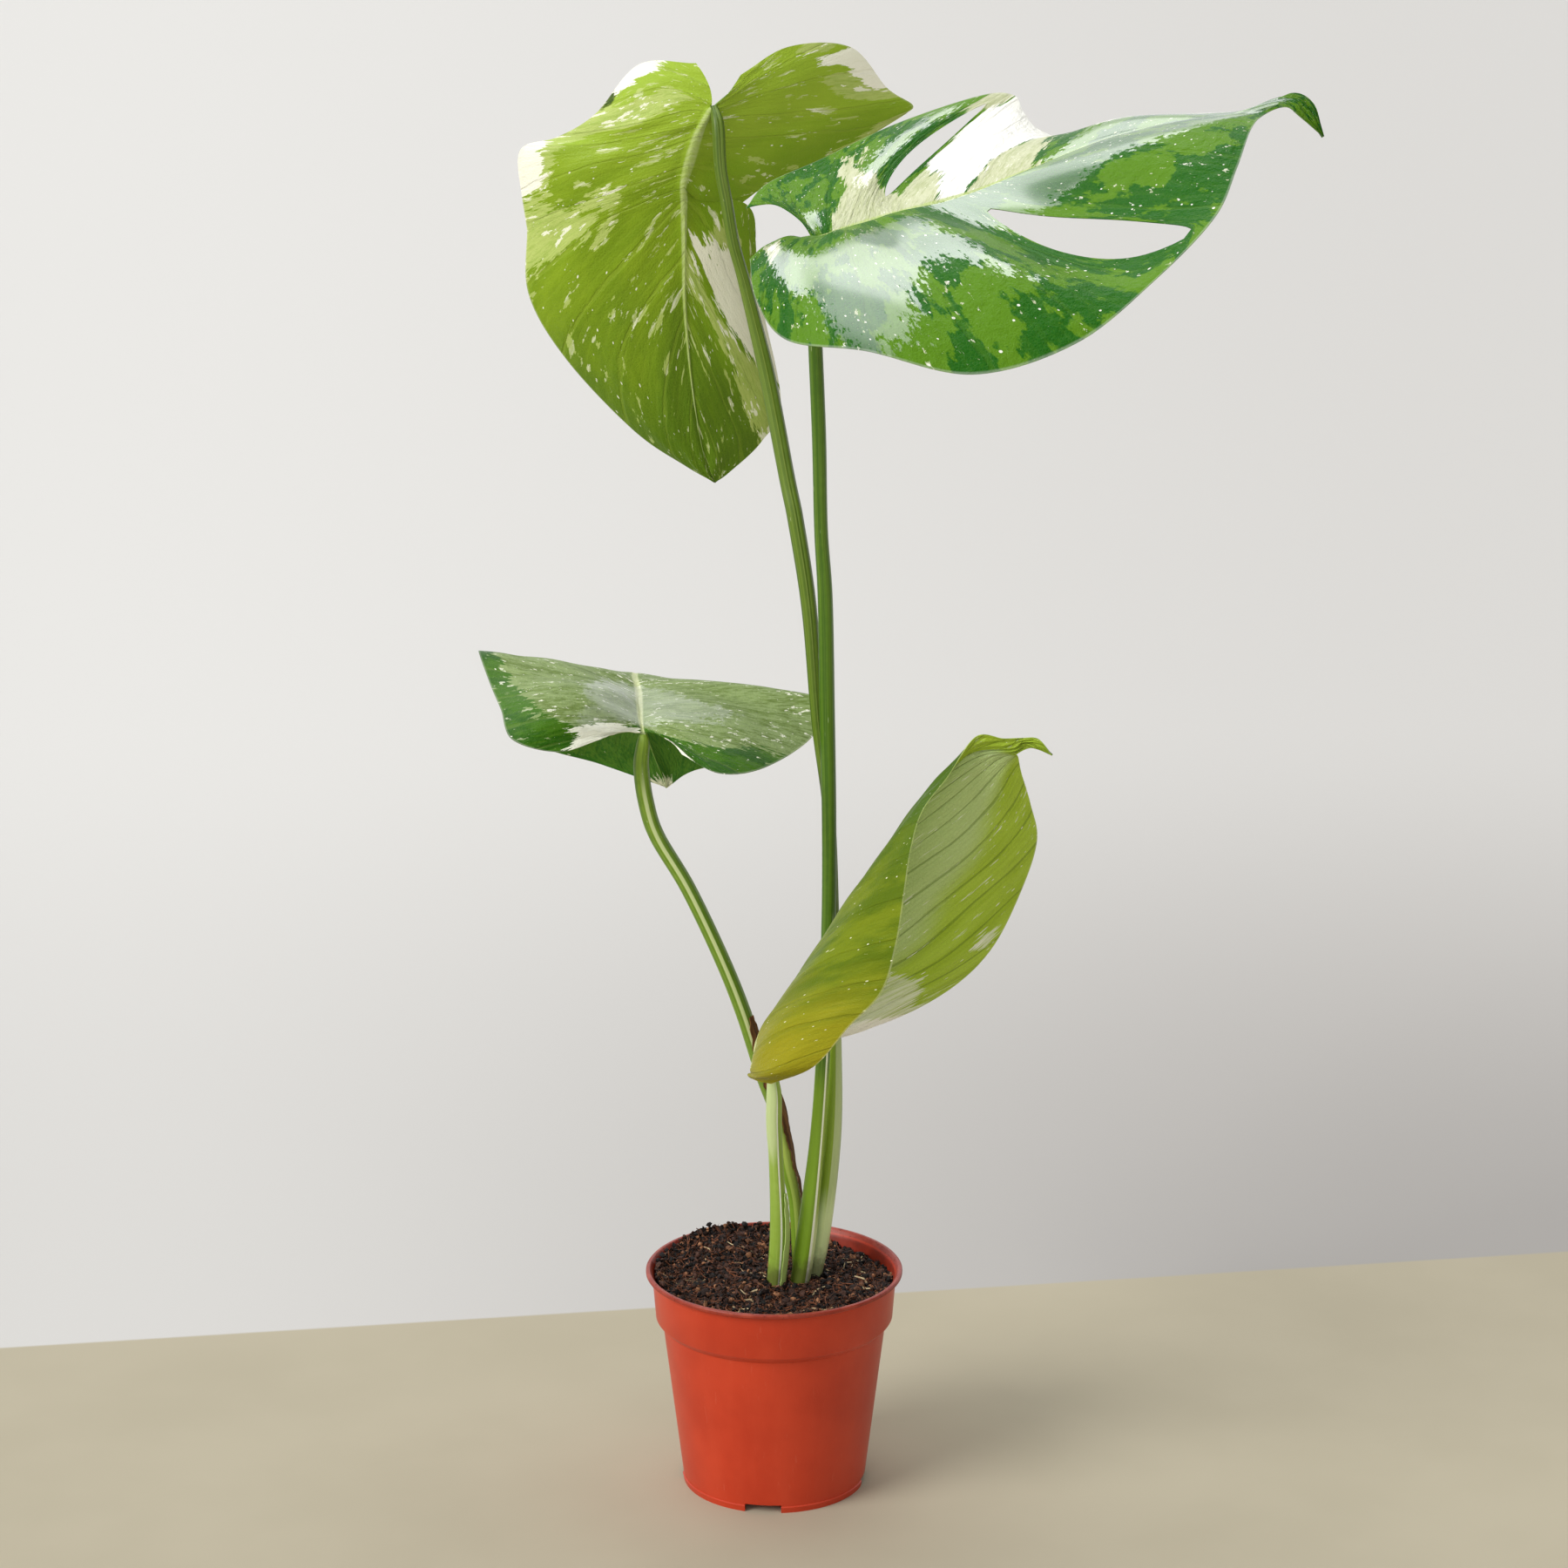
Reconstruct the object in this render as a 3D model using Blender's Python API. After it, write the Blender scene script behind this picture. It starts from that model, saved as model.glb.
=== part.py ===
"""Potted variegated monstera: nursery pot, soil, four leaf stalks, four blades and two sheaths.

Metres, +Z up, origin on the pot axis at the floor. X runs to the viewer's right, -Y towards the viewer.
"""
from math import cos, pi, radians, sin

import bmesh
import bpy
import numpy as np
from mathutils import Vector

MM = 0.001
GAP = 0.35                 # clearance kept between neighbouring pieces
BLADE = 0.9                # blade thickness
BLADE_COLS = 8             # strips from the midrib to the margin
SEGMENTS = 72              # round the pot

for old in list(bpy.data.objects):
    bpy.data.objects.remove(old, do_unlink=True)


# ---------------------------------------------------------------- materials
def material(name, colour, roughness):
    mat = bpy.data.materials.new(name)
    mat.use_nodes = True
    shader = mat.node_tree.nodes["Principled BSDF"]
    shader.inputs["Base Color"].default_value = (*colour, 1.0)
    shader.inputs["Roughness"].default_value = roughness
    return mat


POT_RED = material("pot_plastic", (0.53, 0.055, 0.019), 0.42)
SOIL = material("potting_soil", (0.035, 0.02, 0.012), 0.95)
STALK = material("stalk_green", (0.11, 0.22, 0.03), 0.4)
LEAF_LIGHT = material("leaf_underside", (0.2, 0.35, 0.03), 0.45)
LEAF_DEEP = material("leaf_upper_face", (0.03, 0.16, 0.02), 0.25)
LEAF_SAGE = material("leaf_sage", (0.12, 0.21, 0.06), 0.35)
SHEATH_PALE = material("sheath_pale", (0.45, 0.55, 0.2), 0.5)
SHEATH_DRY = material("sheath_dry", (0.16, 0.08, 0.035), 0.7)


# ---------------------------------------------------------------- mesh helpers
def new_object(name, verts, faces, mat):
    mesh = bpy.data.meshes.new(name)
    mesh.from_pydata([tuple(v) for v in verts], [], faces)
    mesh.update()
    obj = bpy.data.objects.new(name, mesh)
    bpy.context.collection.objects.link(obj)
    obj.data.materials.append(mat)
    for poly in mesh.polygons:
        poly.use_smooth = True
    return obj


def face_outwards(obj):
    bm = bmesh.new()
    bm.from_mesh(obj.data)
    bmesh.ops.recalc_face_normals(bm, faces=bm.faces)
    if bm.calc_volume(signed=True) < 0.0:
        bmesh.ops.reverse_faces(bm, faces=bm.faces)
    bm.to_mesh(obj.data)
    bm.free()


def cut(obj, cutters):
    """Subtracts closed cutters, applies the result and drops the cutters."""
    for tool in cutters:
        tool.hide_render = True
        tool.display_type = 'WIRE'
        mod = obj.modifiers.new("cut", 'BOOLEAN')
        mod.operation = 'DIFFERENCE'
        mod.solver = 'EXACT'
        mod.object = tool
        graph = bpy.context.evaluated_depsgraph_get()
        mesh = bpy.data.meshes.new_from_object(obj.evaluated_get(graph))
        obj.modifiers.remove(mod)
        obj.data = mesh
    for tool in cutters:
        bpy.data.objects.remove(tool, do_unlink=True)


def keep_largest(obj):
    """Keeps the biggest connected shell, so a cut leaves no loose crumb behind."""
    bm = bmesh.new()
    bm.from_mesh(obj.data)
    todo = set(bm.verts)
    shells = []
    while todo:
        seed = todo.pop()
        shell = {seed}
        front = [seed]
        while front:
            vert = front.pop()
            for edge in vert.link_edges:
                other = edge.other_vert(vert)
                if other not in shell:
                    shell.add(other)
                    front.append(other)
        todo -= shell
        shells.append(shell)
    shells.sort(key=len)
    for shell in shells[:-1]:
        bmesh.ops.delete(bm, geom=list(shell), context='VERTS')
    bmesh.ops.remove_doubles(bm, verts=bm.verts, dist=0.00002)
    bmesh.ops.dissolve_degenerate(bm, dist=0.00001, edges=bm.edges)
    bm.to_mesh(obj.data)
    bm.free()


def spline(points, at):
    """Catmull-Rom curve through the points, evaluated at every value of `at` (0 .. n-1)."""
    pts = np.asarray(points, float)
    ends = np.vstack([2 * pts[0] - pts[1], pts, 2 * pts[-1] - pts[-2]])
    at = np.clip(np.asarray(at, float), 0.0, len(pts) - 1.0)
    k = np.minimum(np.floor(at).astype(int), len(pts) - 2)
    f = (at - k)[..., None]
    p0, p1, p2, p3 = ends[k], ends[k + 1], ends[k + 2], ends[k + 3]
    return 0.5 * (2 * p1 + (p2 - p0) * f + (2 * p0 - 5 * p1 + 4 * p2 - p3) * f ** 2
                  + (3 * p1 - p0 - 3 * p2 + p3) * f ** 3)


def frames(path):
    """Unit tangents and two steady side vectors along a polyline."""
    tang = np.gradient(path, axis=0)
    tang /= np.linalg.norm(tang, axis=1)[:, None]
    side = np.cross(tang, (0.0, -1.0, 0.0))
    side /= np.linalg.norm(side, axis=1)[:, None]
    front = np.cross(side, tang)
    return tang, side, front


# ---------------------------------------------------------------- pot
def lathe(name, profile, mat, segments=SEGMENTS):
    """Turns a profile of (radius, height); points on the axis become poles."""
    verts = []
    rings = []
    for r, z in profile:
        if r == 0.0:
            rings.append([len(verts)] * segments)
            verts.append((0.0, 0.0, z * MM))
            continue
        rings.append(list(range(len(verts), len(verts) + segments)))
        for i in range(segments):
            a = 2 * pi * i / segments
            verts.append((r * cos(a) * MM, r * sin(a) * MM, z * MM))
    faces = []
    for low, high in zip(rings, rings[1:]):
        for i in range(segments):
            j = (i + 1) % segments
            quad = [low[i], low[j], high[j], high[i]]
            face = list(dict.fromkeys(quad))
            if len(face) > 2:
                faces.append(face)
    obj = new_object(name, verts, faces, mat)
    face_outwards(obj)
    return obj


POT_PROFILE = [
    (0.0, 0.0), (13.0, 0.0), (13.6, 3.4), (39.8, 3.4), (40.0, 0.0), (42.9, 0.0),   # boss, drained ring, foot
    (43.4, 3.0), (52.2, 77.6), (55.4, 80.8), (57.0, 101.6),                        # body, step, collar
    (59.6, 102.2), (60.0, 103.0), (60.0, 104.4), (59.5, 105.0), (58.2, 105.0),     # rolled lip
    (57.6, 104.4), (55.7, 101.0), (54.0, 82.0), (50.8, 78.6), (42.0, 6.2), (40.5, 5.2),
    (0.0, 5.2)]
DRAIN_HOLES = 6
FOOT_NOTCHES = 4

pot = lathe("pot", POT_PROFILE, POT_RED)
pot_cutters = []
for n in range(DRAIN_HOLES):
    turn = radians(11) + 2 * pi * n / DRAIN_HOLES
    bpy.ops.mesh.primitive_cylinder_add(vertices=16, radius=3.6 * MM, depth=12 * MM,
                                        location=(27 * MM * cos(turn), 27 * MM * sin(turn), 4 * MM))
    pot_cutters.append(bpy.context.object)
for n in range(FOOT_NOTCHES):
    turn = radians(-97) + 2 * pi * n / FOOT_NOTCHES
    bpy.ops.mesh.primitive_cube_add(size=1.0, location=(42 * MM * cos(turn), 42 * MM * sin(turn), -0.4 * MM),
                                    rotation=(0.0, 0.0, turn))
    block = bpy.context.object
    block.scale = (6.0 * MM, 17 * MM, 6.8 * MM)
    pot_cutters.append(block)
bpy.context.view_layer.update()
cut(pot, pot_cutters)
keep_largest(pot)
face_outwards(pot)

# ---------------------------------------------------------------- leaf blades
# Each rib of a blade: foot on the midrib, then for either half its end on the margin and how far it
# bows out of line towards the upper face. A bow given as a point places the middle of the rib.
# The last entry is the tip. Millimetres.
RIBS_UPPER_LEFT = [
    ((-28, 62, 636), (-35, 70, 655), (-29, 65, 645), (-15, 66, 650), -2),
    ((-29, 62, 634), (-61, 76, 654), -4, (7, 78, 662), -3),
    ((-32, 63, 629), (-81, 76, 632), -5, (35, 92, 661), -4),
    ((-35, 65, 623), (-99, 84, 621), -6, (52, 104, 642), -4),
    ((-39, 68, 610), (-116, 88, 615), -7, (64, 110, 634), -3),
    ((-41, 70, 600), (-116, 92, 594), -8, (61, 109, 630), (-9, 86, 596)),
    ((-41, 72, 594), (-114, 94, 579), -8, (-9, 92, 576), (-15, 85, 592)),
    ((-41, 78, 569), (-114, 98, 548), -8, (-6, 104, 544), -4),
    ((-41, 84, 542), (-97, 102, 517), -7, (3, 112, 496), -4),
    ((-38, 94, 503), (-66, 106, 483), -4, (-6, 112, 477), -2),
    ((-33, 104, 471), (-42, 108, 466), -1, (-21, 109, 463), -1),
    (-28, 108, 458)]
RIBS_UPPER_RIGHT = [
    ((17, -10, 584), (-10, -44, 579), (3, -26, 586), (-12, 6, 596), (5, 0, 597)),
    ((20, -9, 585), (-7, -66, 564), 8, (-3, 24, 605), 2),
    ((24, -8, 586), (6, -80, 549), 12, (20, 40, 614), 3),
    ((32, -7, 589), (39, -92, 546), 15, (55, 56, 629), 4),
    ((42, -6, 592), (83, -97, 537), 16, (93, 63, 641), (55, 28, 616)),
    ((55, -5, 596), (126, -90, 549), 15, (108, 64, 641), (65, 26, 610)),
    ((72, -4, 600), (160, -75, 574), (121, -50, 579), (112, 60, 634), 5),
    ((89, -3, 605), (186, -57, 598), (137, -35, 598), (120, 50, 626), 6),
    ((115, -1, 615), (197, -38, 617), 8, (145, 46, 619), 10),
    ((151, 3, 628), (205, -18, 632), 4, (177, 38, 624), 10),
    ((194, 6, 635), (213, 0, 637), 1, (211, 20, 634), 3),
    ((222, 7, 643), (222, 1, 640), 0, (225, 12, 645), 0),
    ((232, 5, 639), (228, 0, 636), 0, (235, 9, 641), 0),
    (239, 2, 627)]
RIBS_MIDDLE_LEFT = [
    ((-59, 0, 362), (-77, -22, 364), (-70, -10, 364), (-41, -22, 357), (-49, -10, 362)),
    ((-60, 6, 364), (-95, -38, 362), 3, (-25, -36, 352), 3),
    ((-61, 15, 366), (-115, -40, 368), 8, (-8, -24, 350), 6),
    ((-62, 28, 369), (-122, -12, 375), 10, (10, 10, 351), 7),
    ((-63, 42, 372), (-129, 18, 380), 6, (20, 34, 356), 5),
    ((-65, 56, 375), (-137, 54, 388), 2, (20, 52, 367), 2),
    ((-65, 74, 372), (-131, 84, 364), 1, (17, 80, 347), 1),
    ((-64, 92, 352), (-116, 100, 334), 3, (-10, 98, 327), 3),
    ((-59, 105, 329), (-84, 111, 320), 2, (-39, 110, 317), 2),
    (-52, 112, 308)]
RIBS_LOWER_RIGHT = [
    ((-3, -20, 209), (-1, -50, 212), (-11, -36, 211), (25, -14, 219), (11, -14, 211)),
    ((-8, -22, 217), (18, -76, 229), -13, (38, -14, 228), -6),
    ((-5, -26, 229), (33, -88, 251), -14, (58, -16, 233), -8),
    ((6, -32, 249), (47, -95, 269), -13, (82, -18, 248), -8),
    ((20, -39, 271), (53, -98, 291), -11, (99, -20, 267), -8),
    ((35, -47, 298), (56, -98, 312), -8, (111, -26, 295), -7),
    ((51, -55, 323), (59, -95, 333), -5, (117, -36, 321), -6),
    ((64, -61, 343), (64, -88, 348), -3, (113, -48, 341), -5),
    ((76, -67, 360), (75, -80, 361), -2, (108, -60, 358), -3),
    ((87, -71, 370), (87, -77, 378), -1, (106, -68, 367), -2),
    ((103, -73, 372), (99, -76, 377), 0, (105, -72, 369), 0),
    ((108, -74, 375), (107, -75, 377), 0, (110, -73, 372), 0),
    ((114, -76, 374), (114, -77, 377), 0, (114, -75, 372), 0),
    (120, -78, 370)]


def half_controls(ribs, side, upper):
    """Margin ends and rib middles of one half, tip included."""
    tip = np.array(ribs[-1], float)
    feet = np.array([r[0] for r in ribs[:-1]], float)
    ends = np.array([r[1 + 2 * side] for r in ribs[:-1]], float)
    mids = []
    along = np.gradient(np.vstack([feet, tip]), axis=0)[:-1]
    for foot, end, rib, ahead in zip(feet, ends, ribs, along):
        bow = rib[2 + 2 * side]
        if isinstance(bow, tuple):
            mids.append(bow)
            continue
        normal = np.cross(ahead, end - foot)
        length = np.linalg.norm(normal)
        normal = normal / length if length > 1e-6 else np.array(upper, float)
        if normal @ np.array(upper, float) < 0.0:
            normal = -normal
        mids.append((foot + end) / 2 + normal * bow)
    return np.vstack([ends, tip]), np.vstack([mids, tip])


def blade_surface(ribs, upper, rows_per_rib=2, cols=BLADE_COLS, notch=None, holes=()):
    """Points of the middle surface, and the quads between them, for both halves at once.

    notch = (side, k, share): the margin is split between ribs k and k+1, in to `share` of the rib.
    holes = (side, k, from, to, half width, drift): an eye between ribs k and k+1.
    """
    last = len(ribs) - 1
    at = []
    slits = []
    for k in range(last):
        if notch and notch[1] == k:
            at.append(float(k))
            slits.append((len(at) - 1, notch[0], notch[2], 1.01))
            continue
        hole = [h for h in holes if h[1] == k]
        if hole:
            at += [k, k + 0.44, k + 0.56]
            slits.append((len(at) - 2, hole[0][0], hole[0][2], hole[0][3]))
            continue
        steps = rows_per_rib
        at += [k + i / steps for i in range(steps)]
    at = np.array(at)
    rows = len(at)
    feet = np.vstack([[r[0] for r in ribs[:-1]], ribs[-1]]).astype(float)
    grid = np.zeros((rows, 2 * cols + 1, 3))
    for side in (0, 1):
        ends, mids = half_controls(ribs, side, upper)
        for j in range(cols + 1):
            t = j / cols
            u = at.copy()
            for hole in holes:
                if hole[0] != side:
                    continue
                row = int(np.argmin(np.abs(at - hole[1] - 0.44)))
                span = (t - hole[2]) / (hole[3] - hole[2])
                if 0.0 < span < 1.0:
                    wide = 0.06 + (hole[4] - 0.06) * sin(pi * span) ** 0.7
                    centre = hole[1] + 0.5 + hole[5] * span ** 2
                    u[row] = centre - wide
                    u[row + 1] = centre + wide
            foot = spline(feet, u)
            if notch and notch[0] == side:
                split = notch[1] + 1
                first = u < split - 0.5
                end = np.where(first[:, None], spline(ends[:split], u), spline(ends[split:], u - split))
                mid = np.where(first[:, None], spline(mids[:split], u), spline(mids[split:], u - split))
            else:
                end = spline(ends, u)
                mid = spline(mids, u)
            point = foot * (1 - t) * (1 - 2 * t) + mid * 4 * t * (1 - t) + end * t * (2 * t - 1)
            grid[:, cols - j if side == 0 else cols + j] = point
    faces = []
    width = 2 * cols + 1
    for i in range(rows - 1):
        for j in range(width - 1):
            skip = False
            for row, side, lo, hi in slits:
                t_in = (abs(j - cols + 0.5) - 0.5) / cols
                t_out = (abs(j - cols + 0.5) + 0.5) / cols
                on_side = (j < cols) == (side == 0)
                if row == i and on_side and t_in > lo - 1e-6 and t_out < hi + 1e-6:
                    skip = True
            if not skip:
                a = i * width + j
                faces.append((a, a + 1, a + width + 1, a + width))
    tip = rows * width
    for j in range(width - 1):
        a = (rows - 1) * width + j
        faces.append((a, a + 1, tip))
    points = np.vstack([grid.reshape(-1, 3), ribs[-1]])
    return points, faces


def solid_blade(name, points, faces, thickness, mat):
    """Closed sheet: the surface offset both ways along its normals, with a rim."""
    normal = np.zeros_like(points)
    for face in faces:
        a, b, c = points[face[0]], points[face[1]], points[face[-1]]
        d = points[face[2]]
        n = np.cross(d - a, c - b) if len(face) == 4 else np.cross(b - a, c - a)
        for v in face:
            normal[v] += n
    normal /= np.maximum(np.linalg.norm(normal, axis=1), 1e-9)[:, None]
    count = len(points)
    both = np.vstack([points + normal * thickness / 2, points - normal * thickness / 2]) * MM
    shell = [tuple(f) for f in faces] + [tuple(v + count for v in reversed(f)) for f in faces]
    edges = {}
    for face in faces:
        for a, b in zip(face, face[1:] + face[:1]):
            edges[(a, b)] = True
    for a, b in edges:
        if (b, a) not in edges:
            shell.append((b, a, a + count, b + count))
    used = sorted({v for f in shell for v in f})
    remap = {v: i for i, v in enumerate(used)}
    obj = new_object(name, both[used], [tuple(remap[v] for v in f) for f in shell], mat)
    face_outwards(obj)
    return obj


BLADES = {
    "leaf_upper_left": (RIBS_UPPER_LEFT, (0.0, 1.0, 0.2), LEAF_LIGHT,
                        dict(notch=(1, 5, 0.5))),
    "leaf_upper_right": (RIBS_UPPER_RIGHT, (-0.1, -0.5, 1.0), LEAF_DEEP,
                         dict(holes=((0, 6, 0.12, 0.95, 0.38, 0.24), (1, 4, 0.24, 0.93, 0.2, 0.0)))),
    "leaf_middle_left": (RIBS_MIDDLE_LEFT, (0.0, 0.3, 1.0), LEAF_SAGE, {}),
    "leaf_lower_right": (RIBS_LOWER_RIGHT, (1.0, 0.3, 0.2), LEAF_LIGHT, {})}

surfaces = {}
for name, (ribs, upper, mat, options) in BLADES.items():
    surfaces[name] = blade_surface(ribs, upper, **options)
    solid_blade(name, *surfaces[name], BLADE, mat)


# ---------------------------------------------------------------- leaf stalks
# Route points (x, y, z) and radius, from inside the soil to the blade. Millimetres.
STALKS = {
    "petiole_upper_left": [
        (14, 8, 78, 3.6), (17, 8, 92, 3.9), (22, 7, 121, 4.5), (27, 7, 170, 4.3), (28, 9, 219, 3.1),
        (27, 9, 274, 2.9), (25, 10, 323, 2.8), (20, 12, 363, 2.9), (16, 16, 415, 3.5), (10, 22, 454, 3.7),
        (6, 28, 473, 3.7), (-3, 40, 518, 3.7), (-13, 48, 558, 2.9), (-18, 50, 576, 2.8),
        (-21, 52, 593, 2.8), (-24, 54, 610, 2.9), (-25, 57, 628, 2.9), (-27, 62, 636, 2.0)],
    "petiole_upper_right": [
        (8, -3, 78, 4.2), (11, -3, 92, 4.4), (15, -2, 121, 4.6), (20, -2, 170, 3.4), (23, -1, 219, 3.2),
        (25, -1, 274, 3.3), (25, -1, 323, 3.3), (24, -1, 372, 3.5), (23, -2, 423, 3.4), (21, -3, 456, 3.1),
        (20, -5, 498, 3.2), (18, -8, 545, 3.2), (17, -10, 574, 3.0), (17, -10, 583, 2.0)],
    "petiole_middle_left": [
        (13, 16, 78, 3.0), (12, 14, 92, 3.0), (10, 10, 132, 3.1), (6, 5, 154, 3.2), (2, 2, 178, 3.3),
        (-5, 0, 200, 3.7), (-14, -2, 230, 3.6), (-24, -4, 257, 3.5), (-39, -4, 290, 3.5), (-53, -2, 314, 3.6),
        (-58, -1, 330, 3.7), (-60, 0, 346, 3.6), (-59, 0, 357, 3.0), (-59, 0, 361, 2.0)],
    "petiole_lower_right": [
        (-1, -6, 78, 3.8), (0, -6, 92, 4.0), (2, -8, 125, 4.0), (1, -12, 159, 3.3), (0, -16, 181, 3.6),
        (0, -19, 197, 3.4), (-1, -20, 208, 2.2)]}


def stalk(name, route, mat, extra=0.0, steps=2, sides=14):
    """Round tapering stalk along a smooth route, closed by flat ends."""
    count = len(route)
    at = np.linspace(0, count - 1, (count - 1) * steps + 1)
    full = spline(route, at)
    path = full[:, :3]
    radius = full[:, 3] + extra
    tang, side, front = frames(path)
    if extra:
        path = path.copy()
        path[0] -= tang[0] * extra
    verts = []
    for p, r, s, f in zip(path, radius, side, front):
        for i in range(sides):
            a = 2 * pi * i / sides
            verts.append((p + (s * cos(a) + f * sin(a)) * r) * MM)
    faces = []
    for i in range(len(path) - 1):
        for j in range(sides):
            k = (j + 1) % sides
            faces.append((i * sides + j, i * sides + k, (i + 1) * sides + k, (i + 1) * sides + j))
    faces.append(tuple(reversed(range(sides))))
    top = (len(path) - 1) * sides
    faces.append(tuple(range(top, top + sides)))
    obj = new_object(name, verts, faces, mat)
    face_outwards(obj)
    return obj


CARRIES = {"petiole_upper_left": "leaf_upper_left", "petiole_upper_right": "leaf_upper_right",
           "petiole_middle_left": "leaf_middle_left", "petiole_lower_right": "leaf_lower_right"}
for name, route in STALKS.items():
    piece = stalk(name, route, STALK)
    points, faces = surfaces[CARRIES[name]]
    swell = solid_blade("blade_space", points, faces, BLADE + 2 * GAP + 0.1, STALK)
    cut(piece, [swell])
    keep_largest(piece)
    face_outwards(piece)


# ---------------------------------------------------------------- sheaths
def sheath(name, route, mat, thickness=0.7, around=9):
    """Open trough hugging a stalk: route points (x, y, z), inner radius, first and last angle."""
    count = len(route)
    at = np.linspace(0, count - 1, (count - 1) * 3 + 1)
    full = spline(route, at)
    path = full[:, :3]
    tang, side, front = frames(path)
    verts = []
    for row, s, f in zip(full, side, front):
        p, r, a0, a1 = row[:3], row[3], radians(row[4]), radians(row[5])
        angles = np.linspace(a0, a1, around)
        for rr in (r, r + thickness):
            ring = angles if rr == r else angles[::-1]
            for a in ring:
                verts.append((p + (s * cos(a) + f * sin(a)) * rr) * MM)
    loop = 2 * around
    faces = []
    for i in range(len(full) - 1):
        for j in range(loop):
            k = (j + 1) % loop
            faces.append((i * loop + j, i * loop + k, (i + 1) * loop + k, (i + 1) * loop + j))
    faces.append(tuple(reversed(range(loop))))
    top = (len(full) - 1) * loop
    faces.append(tuple(range(top, top + loop)))
    obj = new_object(name, verts, faces, mat)
    face_outwards(obj)
    return obj


# Angles: 0 is the viewer's right, 90 towards the viewer.
dried = sheath("dried_sheath", [
    (9, 8, 140, 3.6, 10, 40), (6, 5, 154, 3.7, -10, 80), (2, 2, 178, 3.8, -10, 100),
    (-5, 0, 200, 4.2, 0, 105), (-14, -2, 228, 4.1, 20, 60)], SHEATH_DRY)
pale = sheath("pale_sheath", [
    (0.3, -6, 101.5, 4.6, -60, 60), (1, -7, 110, 4.6, -55, 60), (2, -8, 125, 4.5, -40, 55),
    (1.7, -9.6, 142, 4.2, 0, 30)], SHEATH_PALE)
for piece, wrapped in ((dried, "petiole_middle_left"), (pale, "petiole_lower_right")):
    cut(piece, [stalk("stalk_space", STALKS[wrapped], SOIL, extra=GAP)])
    keep_largest(piece)
    face_outwards(piece)

# ---------------------------------------------------------------- soil
SOIL_TOP = 96.5
SOIL_SPOKES = 48
soil_profile = [(0.0, 5.6), (40.2, 5.6), (41.6, 6.6), (50.3, 78.7), (53.5, 82.1), (54.9, 97.0)]
top_radii = [47.0, 39.0, 31.0, 23.0, 15.0, 7.0]
rng = np.random.default_rng(11)
heights = {}
verts = []
rings = []
for r, z in soil_profile + [(r, None) for r in top_radii]:
    if r == 0.0:
        rings.append([0] * SOIL_SPOKES)
        verts.append((0.0, 0.0, z * MM))
        continue
    rings.append(list(range(len(verts), len(verts) + SOIL_SPOKES)))
    for i in range(SOIL_SPOKES):
        a = 2 * pi * i / SOIL_SPOKES
        x, y = r * cos(a), r * sin(a)
        if z is None:
            lean = 2.2 * (y - x) / 76.0
            lumps = 0.9 * sin(x / 9.0 + 1.0) * cos(y / 8.0)
            height = SOIL_TOP + lean + lumps + rng.uniform(-0.5, 0.5)
        else:
            height = z
        verts.append((x * MM, y * MM, height * MM))
crown = len(verts)
verts.append((0.0, 0.0, SOIL_TOP * MM))
faces = []
for low, high in zip(rings, rings[1:]):
    for i in range(SOIL_SPOKES):
        j = (i + 1) % SOIL_SPOKES
        face = list(dict.fromkeys([low[i], low[j], high[j], high[i]]))
        if len(face) > 2:
            faces.append(face)
for i in range(SOIL_SPOKES):
    faces.append([rings[-1][i], rings[-1][(i + 1) % SOIL_SPOKES], crown])
soil = new_object("soil", verts, faces, SOIL)
face_outwards(soil)
sockets = []
for name, route in STALKS.items():
    sockets.append(stalk("socket", route[:3], SOIL, extra=GAP + 0.05, steps=4, sides=14))
cut(soil, sockets)
keep_largest(soil)
face_outwards(soil)

for obj in bpy.data.objects:
    obj.select_set(False)
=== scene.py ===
"""A young variegated monstera in a red nursery pot: the finish of every piece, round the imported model.

+Z is up and the pot's axis runs through the origin. Shapes are given in millimetres, which MM turns into
metres as a mesh is made. Places in materials are in metres, but for the leaf skins' own maps.
"""
from math import cos, pi, radians, sin

import bpy
import numpy as np
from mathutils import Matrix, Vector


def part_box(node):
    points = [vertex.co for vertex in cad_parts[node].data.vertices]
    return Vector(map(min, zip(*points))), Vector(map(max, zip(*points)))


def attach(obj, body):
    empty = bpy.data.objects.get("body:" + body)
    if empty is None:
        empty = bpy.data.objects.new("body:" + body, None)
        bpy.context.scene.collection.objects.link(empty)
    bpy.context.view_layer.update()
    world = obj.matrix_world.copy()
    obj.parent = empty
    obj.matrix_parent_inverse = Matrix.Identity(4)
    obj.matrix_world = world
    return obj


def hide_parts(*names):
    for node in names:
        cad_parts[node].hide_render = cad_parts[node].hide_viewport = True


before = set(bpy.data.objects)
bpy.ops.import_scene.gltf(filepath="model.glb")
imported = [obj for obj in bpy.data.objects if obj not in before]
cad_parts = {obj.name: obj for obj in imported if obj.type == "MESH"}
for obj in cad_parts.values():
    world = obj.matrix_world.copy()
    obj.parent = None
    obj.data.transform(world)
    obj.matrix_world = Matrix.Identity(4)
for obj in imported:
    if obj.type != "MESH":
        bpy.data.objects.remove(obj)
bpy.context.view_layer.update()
bpy.ops.object.select_all(action='DESELECT')


# ---------------------------------------------------------------- nursery pot
# One injection-moulded polypropylene pot, 12 cm across the rolled lip. A straight collar stands proud
# of the tapered body, and the notched foot ring and the drain holes let the water out.
MM = 0.001


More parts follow.
